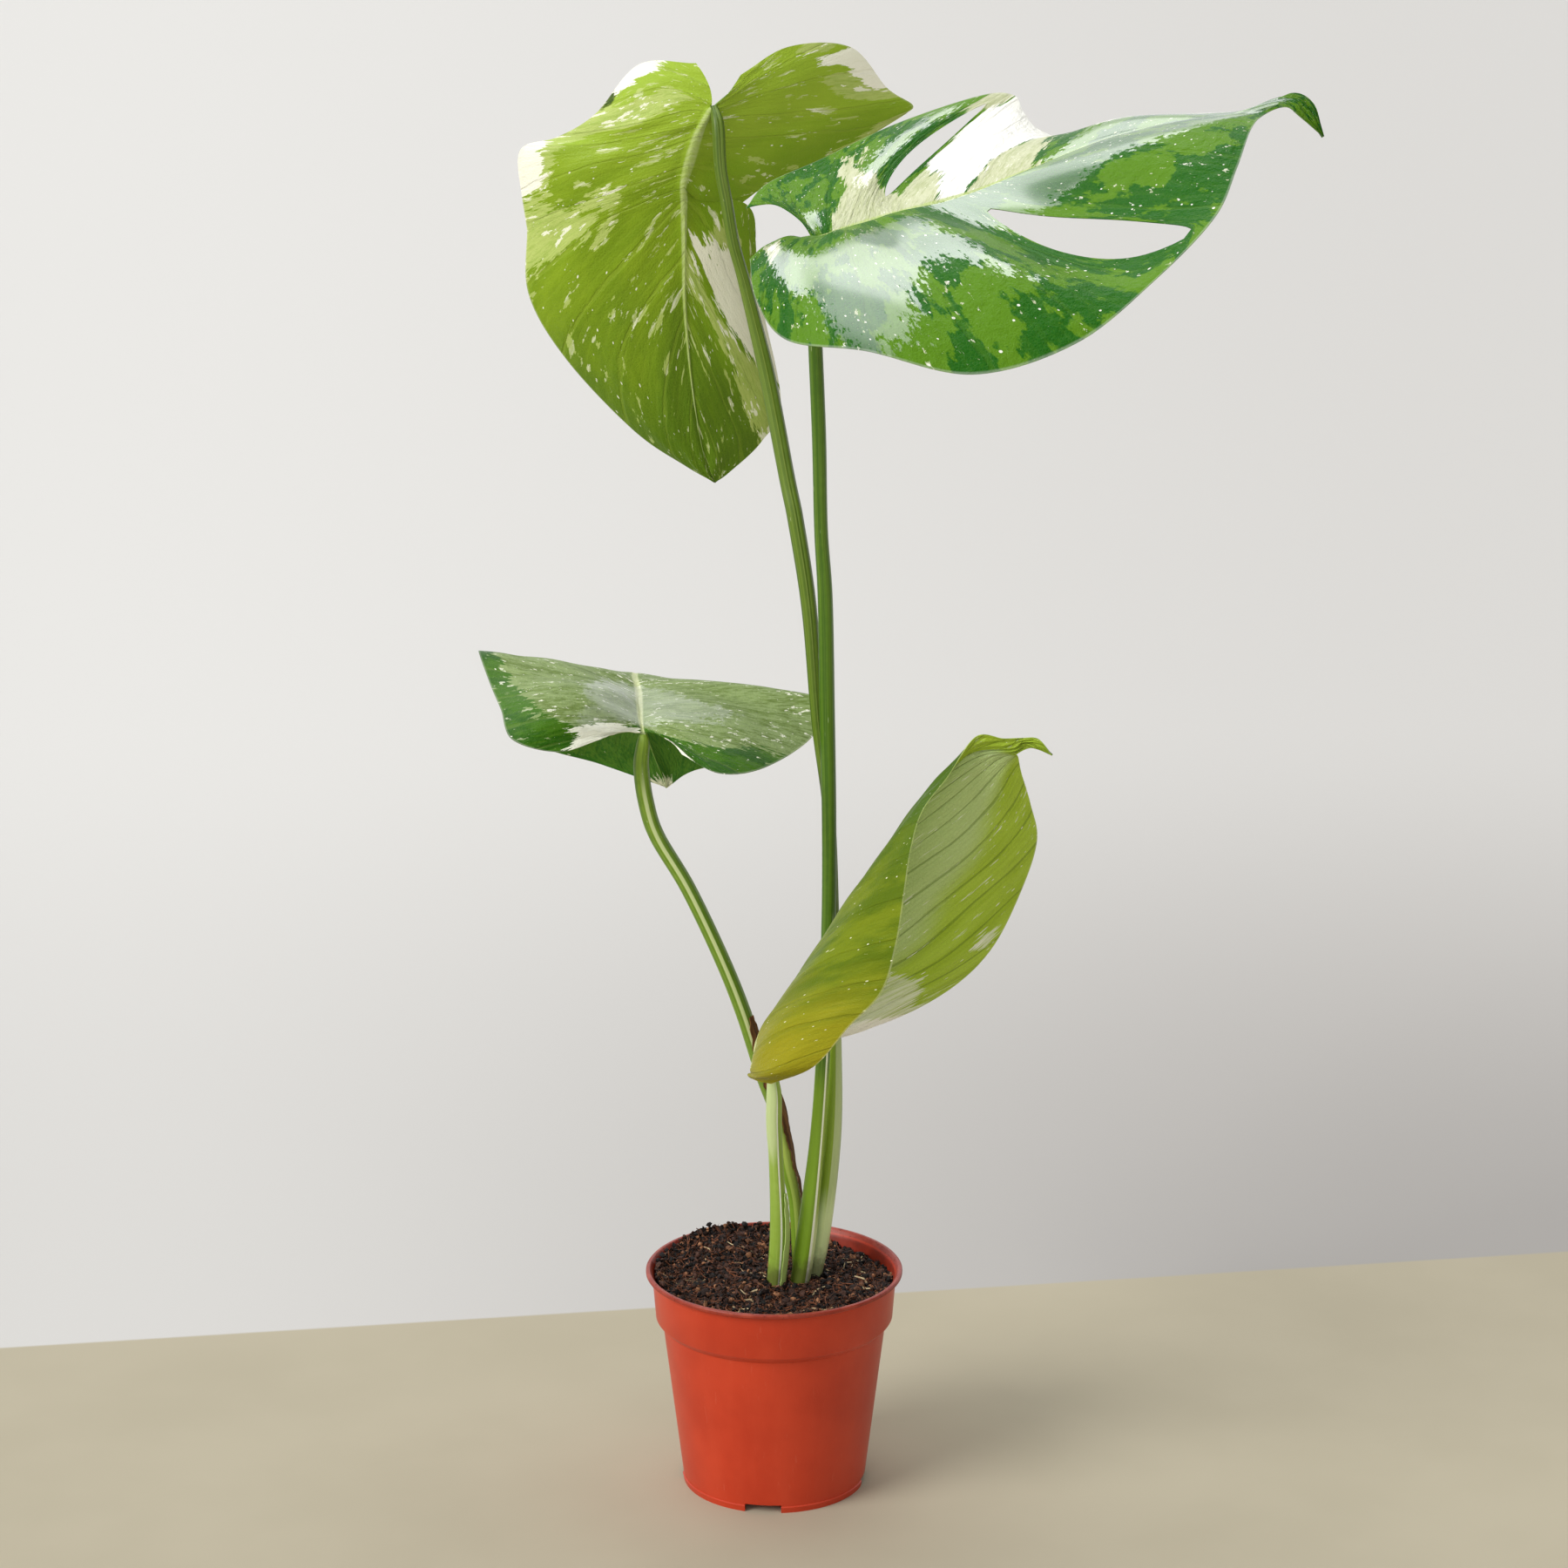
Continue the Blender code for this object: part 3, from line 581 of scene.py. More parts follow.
def blade(name, ribs, upper, sweep, scale, patches, midrib, veins_per_rib, notch=None, eyes=(),
          per_rib=16, across=72):
    """A leaf blade on its ribs.

    sweep = how many ribs a side vein passes on its way to the margin, for either half.
    scale = millimetres from one rib to the next, and from the midrib to the margin.
    patches = {attribute: [(side, corners), ..]}; midrib = its half width at the stalk and at the tip.
    notch = (side, rib, inner end); eyes = (side, rib, inner end, outer end, half width, drift). Ends are
    shares of the way to the margin; an eye's half width and drift are in ribs.
    """
    stations = []
    for k in range(len(ribs) - 1):
        if notch and notch[1] == k:
            stations.append(float(k))
        elif any(eye[1] == k for eye in eyes):
            half = np.linspace(0, eye_edge, per_rib // 2 + 1)
            stations += list(k + half) + list(k + 1 - half[:0:-1])
        else:
            stations += list(k + np.arange(per_rib) / per_rib)
    just_short = 0.012
    stations = np.array(stations + [len(ribs) - 1 - just_short])
    rows = len(stations) - 1

    def place(u, v):
        return leaf_points(ribs, upper, stations[np.round(v * rows).astype(int)], lean_of(u), notch, eyes)

    made = shaped_grid(name, across, rows, place)
    u = np.array([loop.uv[0] for loop in made.data.uv_layers[0].data])
    v = np.array([loop.uv[1] for loop in made.data.uv_layers[0].data])
    corner = np.array([loop.vertex_index for loop in made.data.loops])
    count = len(made.data.vertices)
    lean, rib = np.zeros(count), np.zeros(count)
    lean[corner] = lean_of(u)
    rib[corner] = stations[np.round(v * rows).astype(int)]
    tear_open(made, rib, lean, notch, eyes)

    middle = own_points(made) / MM
    normal = np.zeros(count * 3)
    made.data.vertices.foreach_get("normal", normal)
    normal = normal.reshape(-1, 3)
    if normal.mean(0) @ np.array(upper) < 0:
        choose(made)
        bpy.ops.object.mode_set(mode='EDIT')
        bpy.ops.mesh.select_all(action='SELECT')
        bpy.ops.mesh.flip_normals()
        bpy.ops.object.mode_set(mode='OBJECT')
        normal = -normal
    share = np.abs(lean)
    off_midrib = share * scale[1]
    vein = rib - np.where(lean < 0, sweep[0], sweep[1]) * share ** 0.8
    progress = rib / (len(ribs) - 1)
    rib_width = midrib[0] + (midrib[1] - midrib[0]) * progress
    quilt = np.cos(2 * pi * vein * veins_per_rib)
    fade = np.clip(off_midrib / 6, 0, 1) * np.clip((1 - share) * 5, 0, 1)
    billow = np.sin(vein * 2.3 + lean * 5) * np.cos(lean * 7 + rib) * 0.6
    billow = billow * np.clip((1 - share) * 4, 0, 1) * fade
    ridge = np.sqrt(np.clip(1 - (off_midrib / rib_width) ** 2, 0, 1)) * rib_width
    sunk = np.exp(-(off_midrib / (0.5 * rib_width)) ** 2) * 0.35
    lift = billow - 0.28 * (1 + quilt) / 2 * fade
    thick = 0.28 - 0.1 * share
    top = middle + normal * (lift + thick - sunk)[:, None]
    bottom = middle + normal * (lift - thick - ridge * 0.8)[:, None]

    # The map's three axes: off the midrib, across the side veins, and down the midrib, in decimetres.
    vein_map = np.stack([off_midrib * np.sign(lean), vein * scale[0], rib * scale[0]], 1) * to_decimetres
    layer = made.data.attributes.new("veins", 'FLOAT_VECTOR', 'POINT')
    layer.data.foreach_set("vector", vein_map.astype(np.float32).ravel())
    values = {"lean": lean, "vein_count": vein * veins_per_rib, "midrib": off_midrib / rib_width}
    for attribute, outlines in patches.items():
        depth = np.full(count, far_outside)
        for side, outline in outlines:
            depth = np.maximum(depth, depth_in(rib, lean, side, outline, scale))
        values[attribute] = np.clip(depth / 10, -1, 1)
    for attribute, value in values.items():
        layer = made.data.attributes.new(attribute, 'FLOAT', 'POINT')
        layer.data.foreach_set("value", value.astype(np.float32))
    face_count = len(made.data.polygons)
    apply_modifier(made, 'SOLIDIFY', thickness=0.5 * MM, offset=0)
    first = own_points(made)[:count] / MM - middle
    face_first = (first * normal).sum() > 0
    both = np.vstack([top, bottom] if face_first else [bottom, top])
    made.data.vertices.foreach_set("co", (both * MM).ravel())
    made.data.update()
    settle(made, 60)
    for _ in ("face", "back"):
        made.data.materials.append(None)
    shell = range(face_count, 2 * face_count) if face_first else range(face_count)
    for number in shell:
        made.data.polygons[number].material_index = 1
    return made


def leaf_finish(name, deep, fresh, vein_colour, sage, cream, midrib_colour, roughness, shift, flecks=0.5,
                dots=0.5, soft=0.06, vein_strength=0.3, wax=0.0, washes=(), sage_dark=None, bumpy=1.0,
                sheen=0.2, fleck_grain=(12, 38), mirror=1.8):
    """Leaf skin: two greens in blotches along the veins, ragged sage and cream sectors, flecks and veins.

    flecks and dots = how many pale ones; fleck_grain = how fine they are, along and across the veins;
    soft = softness of the blotch edges; washes = (attribute, or "along" the midrib, from, to, colour);
    wax = how strongly the waxed patches shine; mirror = their index; sheen = bare skin gloss;
    bumpy = height of the swells and wrinkles; shift = which part of the pattern this skin shows.
    """

    def kept(attribute, out="Fac"):
        return start.node("Attribute", {"attribute_name": attribute}, out=out)

    made, start, shader = new_finish(name, specular_ior_level=sheen, coat_roughness=0.2, coat_ior=mirror)
    veins = kept("veins", "Vector").stretch((1, 1, 1), (shift, 0, 0))
    place = start.node("TexCoord", out="Object")
    streak = veins.stretch((5, 34, 1)).noise(1.0, 4, 0.6)
    fine = veins.stretch((26, 150, 1)).noise(1.0, 3, 0.6)
    cells = place.noise(1500, 2)
    swell = veins.stretch((14, 22, 1)).noise(1.0, 3, 0.55)
    ragged = (streak - 0.5) * 1.5 + (fine - 0.5) * 0.7
    blotch = veins.stretch((3.4, 8, 1)).noise(1.0, 5, 0.62) + (fine - 0.5) * 0.06
    colour = blotch.rise(0.5 - soft, 0.5 + soft).between(deep, fresh)
    for where, low, high, wash in washes:
        if where == "along":
            reach = veins.axis("Z") + (veins.stretch((4, 9, 1)).noise(1.0, 3) - 0.5) * 0.5
        else:
            reach = kept(where) + ragged * 0.5
        colour = reach.rise(low, high).between(colour, wash)
    count = kept("vein_count") + (streak - 0.5) * 0.3
    side_vein = (count.beat() + (fine - 0.5) * 0.05).rise(0.015, 0.07, 1.0, 0.0)
    fine_vein = (count * 5.0).beat().rise(0.05, 0.3, 1.0, 0.0)
    net = place.node("TexVoronoi", {"feature": 'DISTANCE_TO_EDGE'}, {"Vector": place, "Scale": 700})
    colour = (fine_vein * 0.06 + net.rise(0.0, 0.12, 0.1, 0.0)).between(colour, vein_colour)
    colour = (side_vein * vein_strength).between(colour, vein_colour)
    sage_mask = (kept("sage") + ragged).rise(-0.03, 0.03)
    cream_mask = (kept("cream") + ragged).rise(-0.03, 0.03)
    crowd = (veins.stretch((5, 11, 1), (0.3, 0.1, 0)).noise(1.0, 2) - 0.5) * 0.3
    fleck_floor = 0.735 - 0.09 * flecks
    splash = veins.stretch((*fleck_grain, 1), (0.7, 0, 0)).noise(1.0, 5, 0.62) + crowd
    splash = splash.rise(fleck_floor, fleck_floor + 0.015)
    spots = {"Vector": veins.stretch((46, 66, 1)), "Scale": 1.0}
    dot = start.node("TexVoronoi", {"feature": 'F1'}, spots)
    dot_chance = start.node("TexVoronoi", {"feature": 'F1'}, spots, out="Color").axis("Y")
    dot_size = dot_chance.rise(0.95 - 0.12 * dots, 1.0, 0.0, 0.26)
    dot = (dot_size - dot).rise(-0.02, 0.06)
    colour = (splash * 0.8).between(colour, streak.rise(0.45, 0.7).between(sage, cream))
    colour = (dot * 0.9).between(colour, cream)
    sage_tone = (fine + streak - 0.5).rise(0.3, 0.62).between(sage_dark or sage, sage)
    colour = sage_mask.between(colour, (splash * 0.8).between(sage_tone, cream))
    colour = cream_mask.between(colour, (fine.rise(0.55, 0.8) * 0.2).between(cream, sage))
    core = (kept("midrib") + (fine - 0.5) * 0.3).rise(0.65, 1.2, 1.0, 0.0)
    colour = (core * 0.85).between(colour, (streak.rise(0.3, 0.7) * 0.2).between(midrib_colour, cream))
    margin = abs(kept("lean")).rise(0.988, 0.996)
    colour = (margin * 0.15).between(colour, cream)
    lay_on(colour, shader, "Base Color")
    pale = sage_mask | cream_mask
    lay_on(cells * 0.1 + pale * 0.08 + (roughness - 0.05), shader, "Roughness")
    if wax:
        crust = veins.stretch((34, 70, 1), (0.4, 0, 0)).noise(1.0, 4, 0.7)
        waxed = kept("wax") + ragged * 0.6 + (swell - 0.5) * 1.1 + (crust - 0.5) * 2.6
        lay_on(waxed.rise(-0.04, 0.14, 0.0, wax), shader, "Coat Weight")
    wrinkle = place.noise(330, 4, 0.7)
    relief = (swell * 4.0 + fine * 0.5 + wrinkle * 1.6) * bumpy
    relief = relief + cells * 0.22 - side_vein - fine_vein * 0.25 + net.rise(0.0, 0.3) * 0.3
    raise_grain(relief, shader, 0.0002)
    return made


blade_high_left = blade(
    "blade_upper_left", [
        ((-28, 62, 636), (-35, 70, 655), (-29, 65, 645), (-15, 66, 650), -2),
        ((-29, 62, 634), (-61, 76, 654), -4, (7, 78, 662), -3),
        ((-32, 63, 629), (-81, 76, 632), -5, (35, 92, 661), -4),
        ((-35, 65, 623), (-99, 84, 621), -6, (52, 104, 642), -4),
        ((-39, 68, 610), (-116, 88, 615), -7, (64, 110, 634), -3),
        ((-41, 70, 600), (-116, 92, 594), -8, (61, 109, 630), (-9, 86, 596)),
        ((-41, 72, 594), (-114, 94, 579), -8, (-9, 92, 576), (-15, 85, 592)),
        ((-41, 78, 569), (-114, 98, 548), -8, (-6, 104, 544), -4),
        ((-41, 84, 542), (-97, 102, 517), -7, (3, 112, 496), -4),
        ((-38, 94, 503), (-66, 106, 483), -4, (-6, 112, 477), -2),
        ((-33, 104, 471), (-42, 108, 466), -1, (-21, 109, 463), -1),
        (-28, 108, 458)],
    upper=(0, 1, 0.2), sweep=(1.9, 1.6), scale=(17, 78), midrib=(2.8, 0.6), veins_per_rib=1.0,
    notch=(1, 5, 0.5), patches={
        # Painted shade: a dark band inside the upper left margin, where the edge rolls over.
        "roll": [(0, [(1.5, .94), (1.5, 1.3), (3.2, 1.3), (3.2, .94)])],
        "sage": [
            (0, [(4.8, .36), (4.85, .5), (5.3, .62), (5.7, .78), (6.1, 1.2), (6.9, 1.2), (6.65, .9),
                 (6.5, .76), (6.35, .64), (5.95, .5), (5.4, .38)]),
            (0, [(5.85, .38), (6.4, .56), (6.5, .52), (6.0, .4)]),
            (0, [(.85, .22), (1.0, .5), (1.45, .62), (1.8, .82), (1.95, 1.2), (3.6, 1.2), (3.3, .82),
                 (2.6, .76), (2.45, .64), (2.0, .5), (1.55, .38), (1.0, .24)]),
            (0, [(3.0, 1.2), (3.6, .74), (4.9, .8), (5.3, 1.2)]),
            (1, [(6.9, .0), (7.4, .25), (7.74, .5), (7.8, .74), (7.95, 1.2), (9.2, 1.2), (8.95, .93),
                 (8.7, .68), (8.4, .57), (8.04, .42), (7.83, .28), (7.5, .0)]),
            (1, [(6.3, .3), (6.45, .6), (6.7, .6), (6.6, .22)]),
            (1, [(2.1, .8), (2.4, .88), (2.9, .94), (3.2, 1.2), (3.6, 1.2), (3.1, .83), (2.75, .75),
                 (2.4, .72)]),
            (1, [(1.1, .93), (1.8, .88), (1.9, .93), (1.4, 1.2)]),
            (1, [(4.15, 1.2), (4.3, .93), (4.7, .8), (5.0, .66), (5.05, 1.2)])],
        "cream": [
            (0, [(.6, 1.2), (.65, .88), (.95, .8), (1.2, .84), (1.6, .93), (1.7, 1.2)]),
            (0, [(3.1, 1.2), (3.4, .93), (3.9, .87), (4.2, .82), (4.6, .84), (5.0, .93), (5.2, 1.2)]),
            (1, [(6.6, .05), (6.68, .27), (6.72, .5), (6.8, 1.2), (7.95, 1.2), (7.78, .74), (7.72, .5),
                 (7.5, .36), (7.2, .25), (6.9, .1)]),
            (1, [(1.65, .84), (1.95, .97), (2.2, 1.2), (3.2, 1.2), (2.9, .94), (2.4, .88), (2.2, .85),
                 (1.9, .79)])]})
blade_high_left.data.materials[0] = leaf_finish(
    "light_leaf_face", tint(74, 118, 26), tint(104, 146, 34), tint(150, 180, 74), tint(176, 198, 118),
    tint(252, 252, 230), tint(176, 200, 104), 0.34, 3.0)
# Painted light: the back's greens are partly its own and partly set lighter for light shining through the
# thin blade.
blade_high_left.data.materials[1] = leaf_finish(
    "light_leaf_back", tint(118, 149, 20), tint(137, 167, 30), tint(160, 184, 62), tint(186, 204, 112),
    tint(255, 255, 238), tint(176, 198, 104), 0.46, 3.0, flecks=1.5, dots=0.35, soft=0.16, vein_strength=0.2,
    # Painted light: the wash by lean repaints the right half, which lies in shade, in a lit green.
    washes=[("lean", -0.05, 0.35, tint(126, 164, 26)),
            ("along", 1.15, 1.6, tint(92, 126, 20)), ("along", 0.9, 0.4, tint(156, 186, 50)),
            # Painted shade of the rolled upper left margin.
            ("roll", -0.12, 0.02, tint(56, 82, 12))],
    sage_dark=tint(168, 192, 92), bumpy=0.5, fleck_grain=(9, 28))
belongs(blade_high_left, "leaf_light", "leaf_upper_left")


# ---------------------------------------------------------------- upper right blade
# The largest blade, face up and arched over its midrib: a glossy deep green skin, one eye in either
# half, a white sector between the midrib and the far eye, and a tip that curls down.
blade_high_right = blade(
    "blade_upper_right", [
        ((17, -10, 584), (-10, -44, 579), (3, -26, 586), (-12, 6, 596), (5, 0, 597)),
        ((20, -9, 585), (-7, -66, 564), 8, (-3, 24, 605), 2),
        ((24, -8, 586), (6, -80, 549), 12, (20, 40, 614), 3),
        ((32, -7, 589), (39, -92, 546), 15, (55, 56, 629), 4),
        ((42, -6, 592), (83, -97, 537), 16, (93, 63, 641), (55, 28, 616)),
        ((55, -5, 596), (126, -90, 549), 15, (108, 64, 641), (65, 26, 610)),
        ((72, -4, 600), (160, -75, 574), (121, -50, 579), (112, 60, 634), 5),
        ((89, -3, 605), (186, -57, 598), (137, -35, 598), (120, 50, 626), 6),
        ((115, -1, 615), (197, -38, 617), 8, (145, 46, 619), 10),
        ((151, 3, 628), (205, -18, 632), 4, (177, 38, 624), 10),
        ((194, 6, 635), (213, 0, 637), 1, (211, 20, 634), 3),
        ((222, 7, 643), (222, 1, 640), 0, (225, 12, 645), 0),
        ((232, 5, 639), (228, 0, 636), 0, (235, 9, 641), 0),
        (239, 2, 627)],
    upper=(-0.1, -0.5, 1), sweep=(0.2, 0.3), scale=(20, 92), midrib=(1.7, 0.4), veins_per_rib=1.0,
    eyes=((0, 6, 0.12, 0.95, 0.33, 0.24), (1, 4, 0.24, 0.93, 0.3, 0.0)), patches={
        "sage": [
            (1, [(2.15, -.1), (2.5, .4), (2.35, .65), (2.4, .85), (2.62, .8), (2.62, .55), (2.95, .46),
                 (3.6, .36), (4.1, .27), (5.0, .28), (5.0, .6), (5.6, .35), (6.05, -.1)]),
            (1, [(6.6, -.1), (6.9, .3), (7.4, .6), (7.7, .75), (7.9, .5), (8.0, -.1)]),
            (1, [(4.2, .88), (4.2, 1.2), (5.0, 1.2), (5.1, .96), (4.8, .9)]),
            (0, [(.1, .5), (.1, .75), (.8, .7), (.9, .55)])],
        "cream": [
            (1, [(6.05, -.1), (5.6, .35), (5.0, .55), (4.8, .6), (4.6, .9), (5.0, .97), (4.9, 1.2),
                 (10.2, 1.2), (10.2, .5), (8.6, .35), (8.3, .6), (7.9, .75), (7.4, .6), (6.9, .3),
                 (6.6, -.1)]),
            (0, [(.2, .55), (.25, .68), (.6, .66), (.6, .58)])],
        "wax": [
            (0, [(0, .55), (1.2, .45), (2.3, .42), (3.2, .25), (4.1, .1), (4.8, .12), (5.0, .4),
                 (5.15, .7), (4.7, .55), (4.3, .48), (3.9, .6), (3.5, .9), (2.9, 1.05), (2.6, .9),
                 (2.3, .74), (1.2, .7), (.3, .75)]),
            (0, [(5.3, -.1), (5.9, .16), (6.8, .3), (7.5, .36), (8, .45), (8.5, .6), (9, .7), (9.6, .8),
                 (10.6, .8), (11.2, 0), (9, -.1)]),
            (1, [(2.7, .35), (3.2, .3), (3.6, .5), (3.9, .9), (3.6, .97), (3.1, .7)]),
            (1, [(.8, .1), (1.7, .1), (1.7, .3), (1.1, .35)]),
            (1, [(7.9, -.1), (8.6, .35), (9.4, .7), (10.6, .7), (11, -.1)])]})
blade_high_right.data.materials[0] = leaf_finish(
    "deep_leaf_face", tint(30, 96, 12), tint(88, 134, 22), tint(104, 150, 40), tint(210, 214, 180),
    tint(255, 255, 248), tint(180, 200, 116), 0.34, 7.0, flecks=0.75, dots=1.3, soft=0.02,
    vein_strength=0.1, wax=1.0, sage_dark=tint(184, 192, 146), bumpy=1.6, sheen=0.12,
    fleck_grain=(30, 78), mirror=2.2)
blade_high_right.data.materials[1] = leaf_finish(
    "deep_leaf_back", tint(74, 122, 34), tint(104, 146, 44), tint(140, 176, 74), tint(200, 208, 160),
    tint(250, 250, 238), tint(168, 192, 96), 0.45, 7.0, flecks=0.3)
belongs(blade_high_right, "leaf_deep", "leaf_upper_right")


# ---------------------------------------------------------------- middle left blade
# A blade held flat and seen along its face: sage grey-green over dark green, partly its own waxy bloom and
# partly a painted sheen, pale twin lines along the midrib, white flecks, and a cream band inside the front
# margin. Its far end droops.
blade_middle = blade(
    "blade_middle_left", [
        ((-59, 0, 362), (-77, -22, 364), (-70, -10, 364), (-41, -22, 357), (-49, -10, 362)),
        ((-60, 6, 364), (-95, -38, 362), 3, (-25, -36, 352), 3),
        ((-61, 15, 366), (-115, -40, 368), 8, (-8, -24, 350), 6),
        ((-62, 28, 369), (-122, -12, 375), 10, (10, 10, 351), 7),
        ((-63, 42, 372), (-129, 18, 380), 6, (20, 34, 356), 5),
        ((-65, 56, 375), (-137, 54, 388), 2, (20, 52, 367), 2),
        ((-65, 74, 372), (-131, 84, 364), 1, (17, 80, 347), 1),
        ((-64, 92, 352), (-116, 100, 334), 3, (-10, 98, 327), 3),
        ((-59, 105, 329), (-84, 111, 320), 2, (-39, 110, 317), 2),
        (-52, 112, 308)],
    upper=(0, 0.3, 1), sweep=(1.4, 1.6), scale=(15, 72), midrib=(2.6, 0.6), veins_per_rib=1.0, patches={
        "sage": [
            (0, [(.75, -.1), (.95, .3), (1.25, .5), (1.7, .66), (2.2, .76), (3, .84), (4, .86), (5, .9),
                 (6, .92), (9.5, .92), (9.5, -.1)]),
            (1, [(.4, -.1), (.8, .25), (1.3, .5), (1.9, .72), (2.5, .88), (3.0, 1.2), (9.5, 1.2),
                 (9.5, -.1)])],
        "cream": [
            (0, [(-.5, .05), (.5, .06), (1.2, .25), (1.55, .45), (1.4, .66), (.9, .9), (.6, 1.2),
                 (-.5, 1.2)]),
            (1, [(-.5, .5), (-.5, 1.2), (.25, 1.2), (.2, .8), (.05, .5)]),
            (0, [(8.72, -.1), (8.72, 1.2), (9.5, 1.2), (9.5, -.1)]),
            (1, [(8.72, -.1), (8.72, 1.2), (9.5, 1.2), (9.5, -.1)])],
        "wax": [
            (0, [(.9, .05), (1.4, .3), (1.0, .5), (1.3, .68), (1.7, .6), (2.2, .45), (3.2, .42),
                 (4.2, .2), (4.2, -.1), (.9, -.1)]),
            (1, [(.9, .05), (1.5, .2), (2.5, .5), (3.2, .6), (3.4, .3), (4.2, .1), (4.2, -.1),
                 (.9, -.1)])]})
# Painted sheen: the sage over most of this face is partly the blade's own grey-green and partly a painted
# sheen.
blade_middle.data.materials[0] = leaf_finish(
    "sage_leaf_face_with_painted_sheen", tint(42, 92, 10), tint(66, 112, 18), tint(120, 148, 70), tint(148, 168, 110),
    tint(255, 255, 238), tint(214, 222, 168), 0.34, 11.0, flecks=1.2, dots=1.3, soft=0.05,
    vein_strength=0.25, wax=0.8, sage_dark=tint(112, 134, 68), bumpy=1.2, sheen=0.06,
    fleck_grain=(26, 70), mirror=2.1)
blade_middle.data.materials[1] = leaf_finish(
    "sage_leaf_back", tint(50, 110, 26), tint(74, 132, 34), tint(96, 146, 46), tint(84, 132, 38),
    tint(244, 246, 216), tint(130, 170, 62), 0.42, 11.0, flecks=0.1, sage_dark=tint(54, 110, 28))
belongs(blade_middle, "leaf_sage", "leaf_middle_left")


# ---------------------------------------------------------------- lower right blade
# The youngest blade, folded along its midrib: the near half shows its mustard-green back, the far half
# its pale green face, painted lighter still as light shining through where it lies in shade, with sunk side
# veins and a cream patch; the drip tip curls at the top.
blade_low = blade(
    "blade_lower_right", [
        ((-3, -20, 209), (-1, -50, 212), (-11, -36, 211), (25, -14, 219), (11, -14, 211)),
        ((-8, -22, 217), (18, -76, 229), -13, (38, -14, 228), -6),
        ((-5, -26, 229), (33, -88, 251), -14, (58, -16, 233), -8),
        ((6, -32, 249), (47, -95, 269), -13, (82, -18, 248), -8),
        ((20, -39, 271), (53, -98, 291), -11, (99, -20, 267), -8),
        ((35, -47, 298), (56, -98, 312), -8, (111, -26, 295), -7),
        ((51, -55, 323), (59, -95, 333), -5, (117, -36, 321), -6),
        ((64, -61, 343), (64, -88, 348), -3, (113, -48, 341), -5),
        ((76, -67, 360), (75, -80, 361), -2, (108, -60, 358), -3),
        ((87, -71, 370), (87, -77, 378), -1, (106, -68, 367), -2),
        ((103, -73, 372), (99, -76, 377), 0, (105, -72, 369), 0),
        ((108, -74, 375), (107, -75, 377), 0, (110, -73, 372), 0),
        ((114, -76, 374), (114, -77, 377), 0, (114, -75, 372), 0),
        (120, -78, 370)],
    upper=(1, 0.3, 0.2), sweep=(1.5, 4.2), scale=(25, 66), midrib=(1.5, 0.4), veins_per_rib=1.15, patches={
        "sage": [
            (1, [(3.95, .3), (3.62, .48), (3.5, .66), (3.15, .74), (2.6, .85), (2.3, 1.2), (.5, 1.2),
                 (.5, .2), (3, .1)]),
            (1, [(4.35, .86), (4.35, .95), (4.05, .95), (4.05, .86)]),
            (0, [(-.5, -.1), (-.5, .3), (.6, .32), (1.3, .22), (1.9, .12), (2.3, .05), (2.3, -.1)])],
        "bloom": [
            (1, [(3.2, -.1), (3.6, .4), (4.4, .52), (5.2, .5), (6, .58), (7, .62), (8, .72), (9, .9),
                 (9.6, .9), (9.6, -.1)])],
        "cream": [
            (1, [(2.3, .3), (2.45, .7), (2.25, .9), (1.9, 1.2), (.5, 1.2), (.5, .3)])]})
# Painted light: the face greens are partly the blade's own pale green and partly set lighter for light
# shining through its shaded far half.
blade_low.data.materials[0] = leaf_finish(
    "young_leaf_face_with_painted_light", tint(162, 190, 50), tint(178, 206, 70), tint(96, 124, 30), tint(226, 234, 204),
    tint(255, 255, 246), tint(150, 176, 70), 0.38, 15.0, flecks=0.8, dots=0.3, soft=0.16, vein_strength=0.45,
    washes=[("bloom", -0.6, 0.9, tint(192, 214, 142))], sage_dark=tint(190, 208, 132), sheen=0.12)
blade_low.data.materials[1] = leaf_finish(
    "young_leaf_back", tint(92, 114, 18), tint(120, 136, 26), tint(88, 112, 20), tint(206, 212, 144),
    tint(250, 250, 220), tint(160, 172, 66), 0.44, 15.0, flecks=0.3, dots=0.9, soft=0.12, vein_strength=0.12,
    washes=[("along", 0.95, 0.3, tint(156, 150, 30)), ("along", 1.1, 1.9, tint(76, 106, 26))], bumpy=0.6,
    sheen=0.1)
belongs(blade_low, "leaf_light", "leaf_lower_right")


# ---------------------------------------------------------------- leaf stalks
# Four smooth stalks grow from one crown in the soil. Each is round with faint lengthwise ridges,
# thicker at its sheathed foot and at the knee below its blade, and streaked in pale green and cream.
def follow(route, steps):
    """Rings along a route: every value of the route, and a function that puts points round a ring."""
    rings = spline(route, np.linspace(0, len(route) - 1, (len(route) - 1) * steps + 1))
    ahead = np.gradient(rings[:, :3], axis=0)
    ahead /= np.linalg.norm(ahead, axis=1)[:, None]
    right = np.cross(ahead, (0.0, -1.0, 0.0))
    right /= np.linalg.norm(right, axis=1)[:, None]
    front = np.cross(right, ahead)

    def round_ring(ring, turn, radius):
        outward = right[ring] * np.cos(turn)[:, None] + front[ring] * np.sin(turn)[:, None]
        return rings[ring, :3] + outward * radius[:, None]

    return rings, round_ring


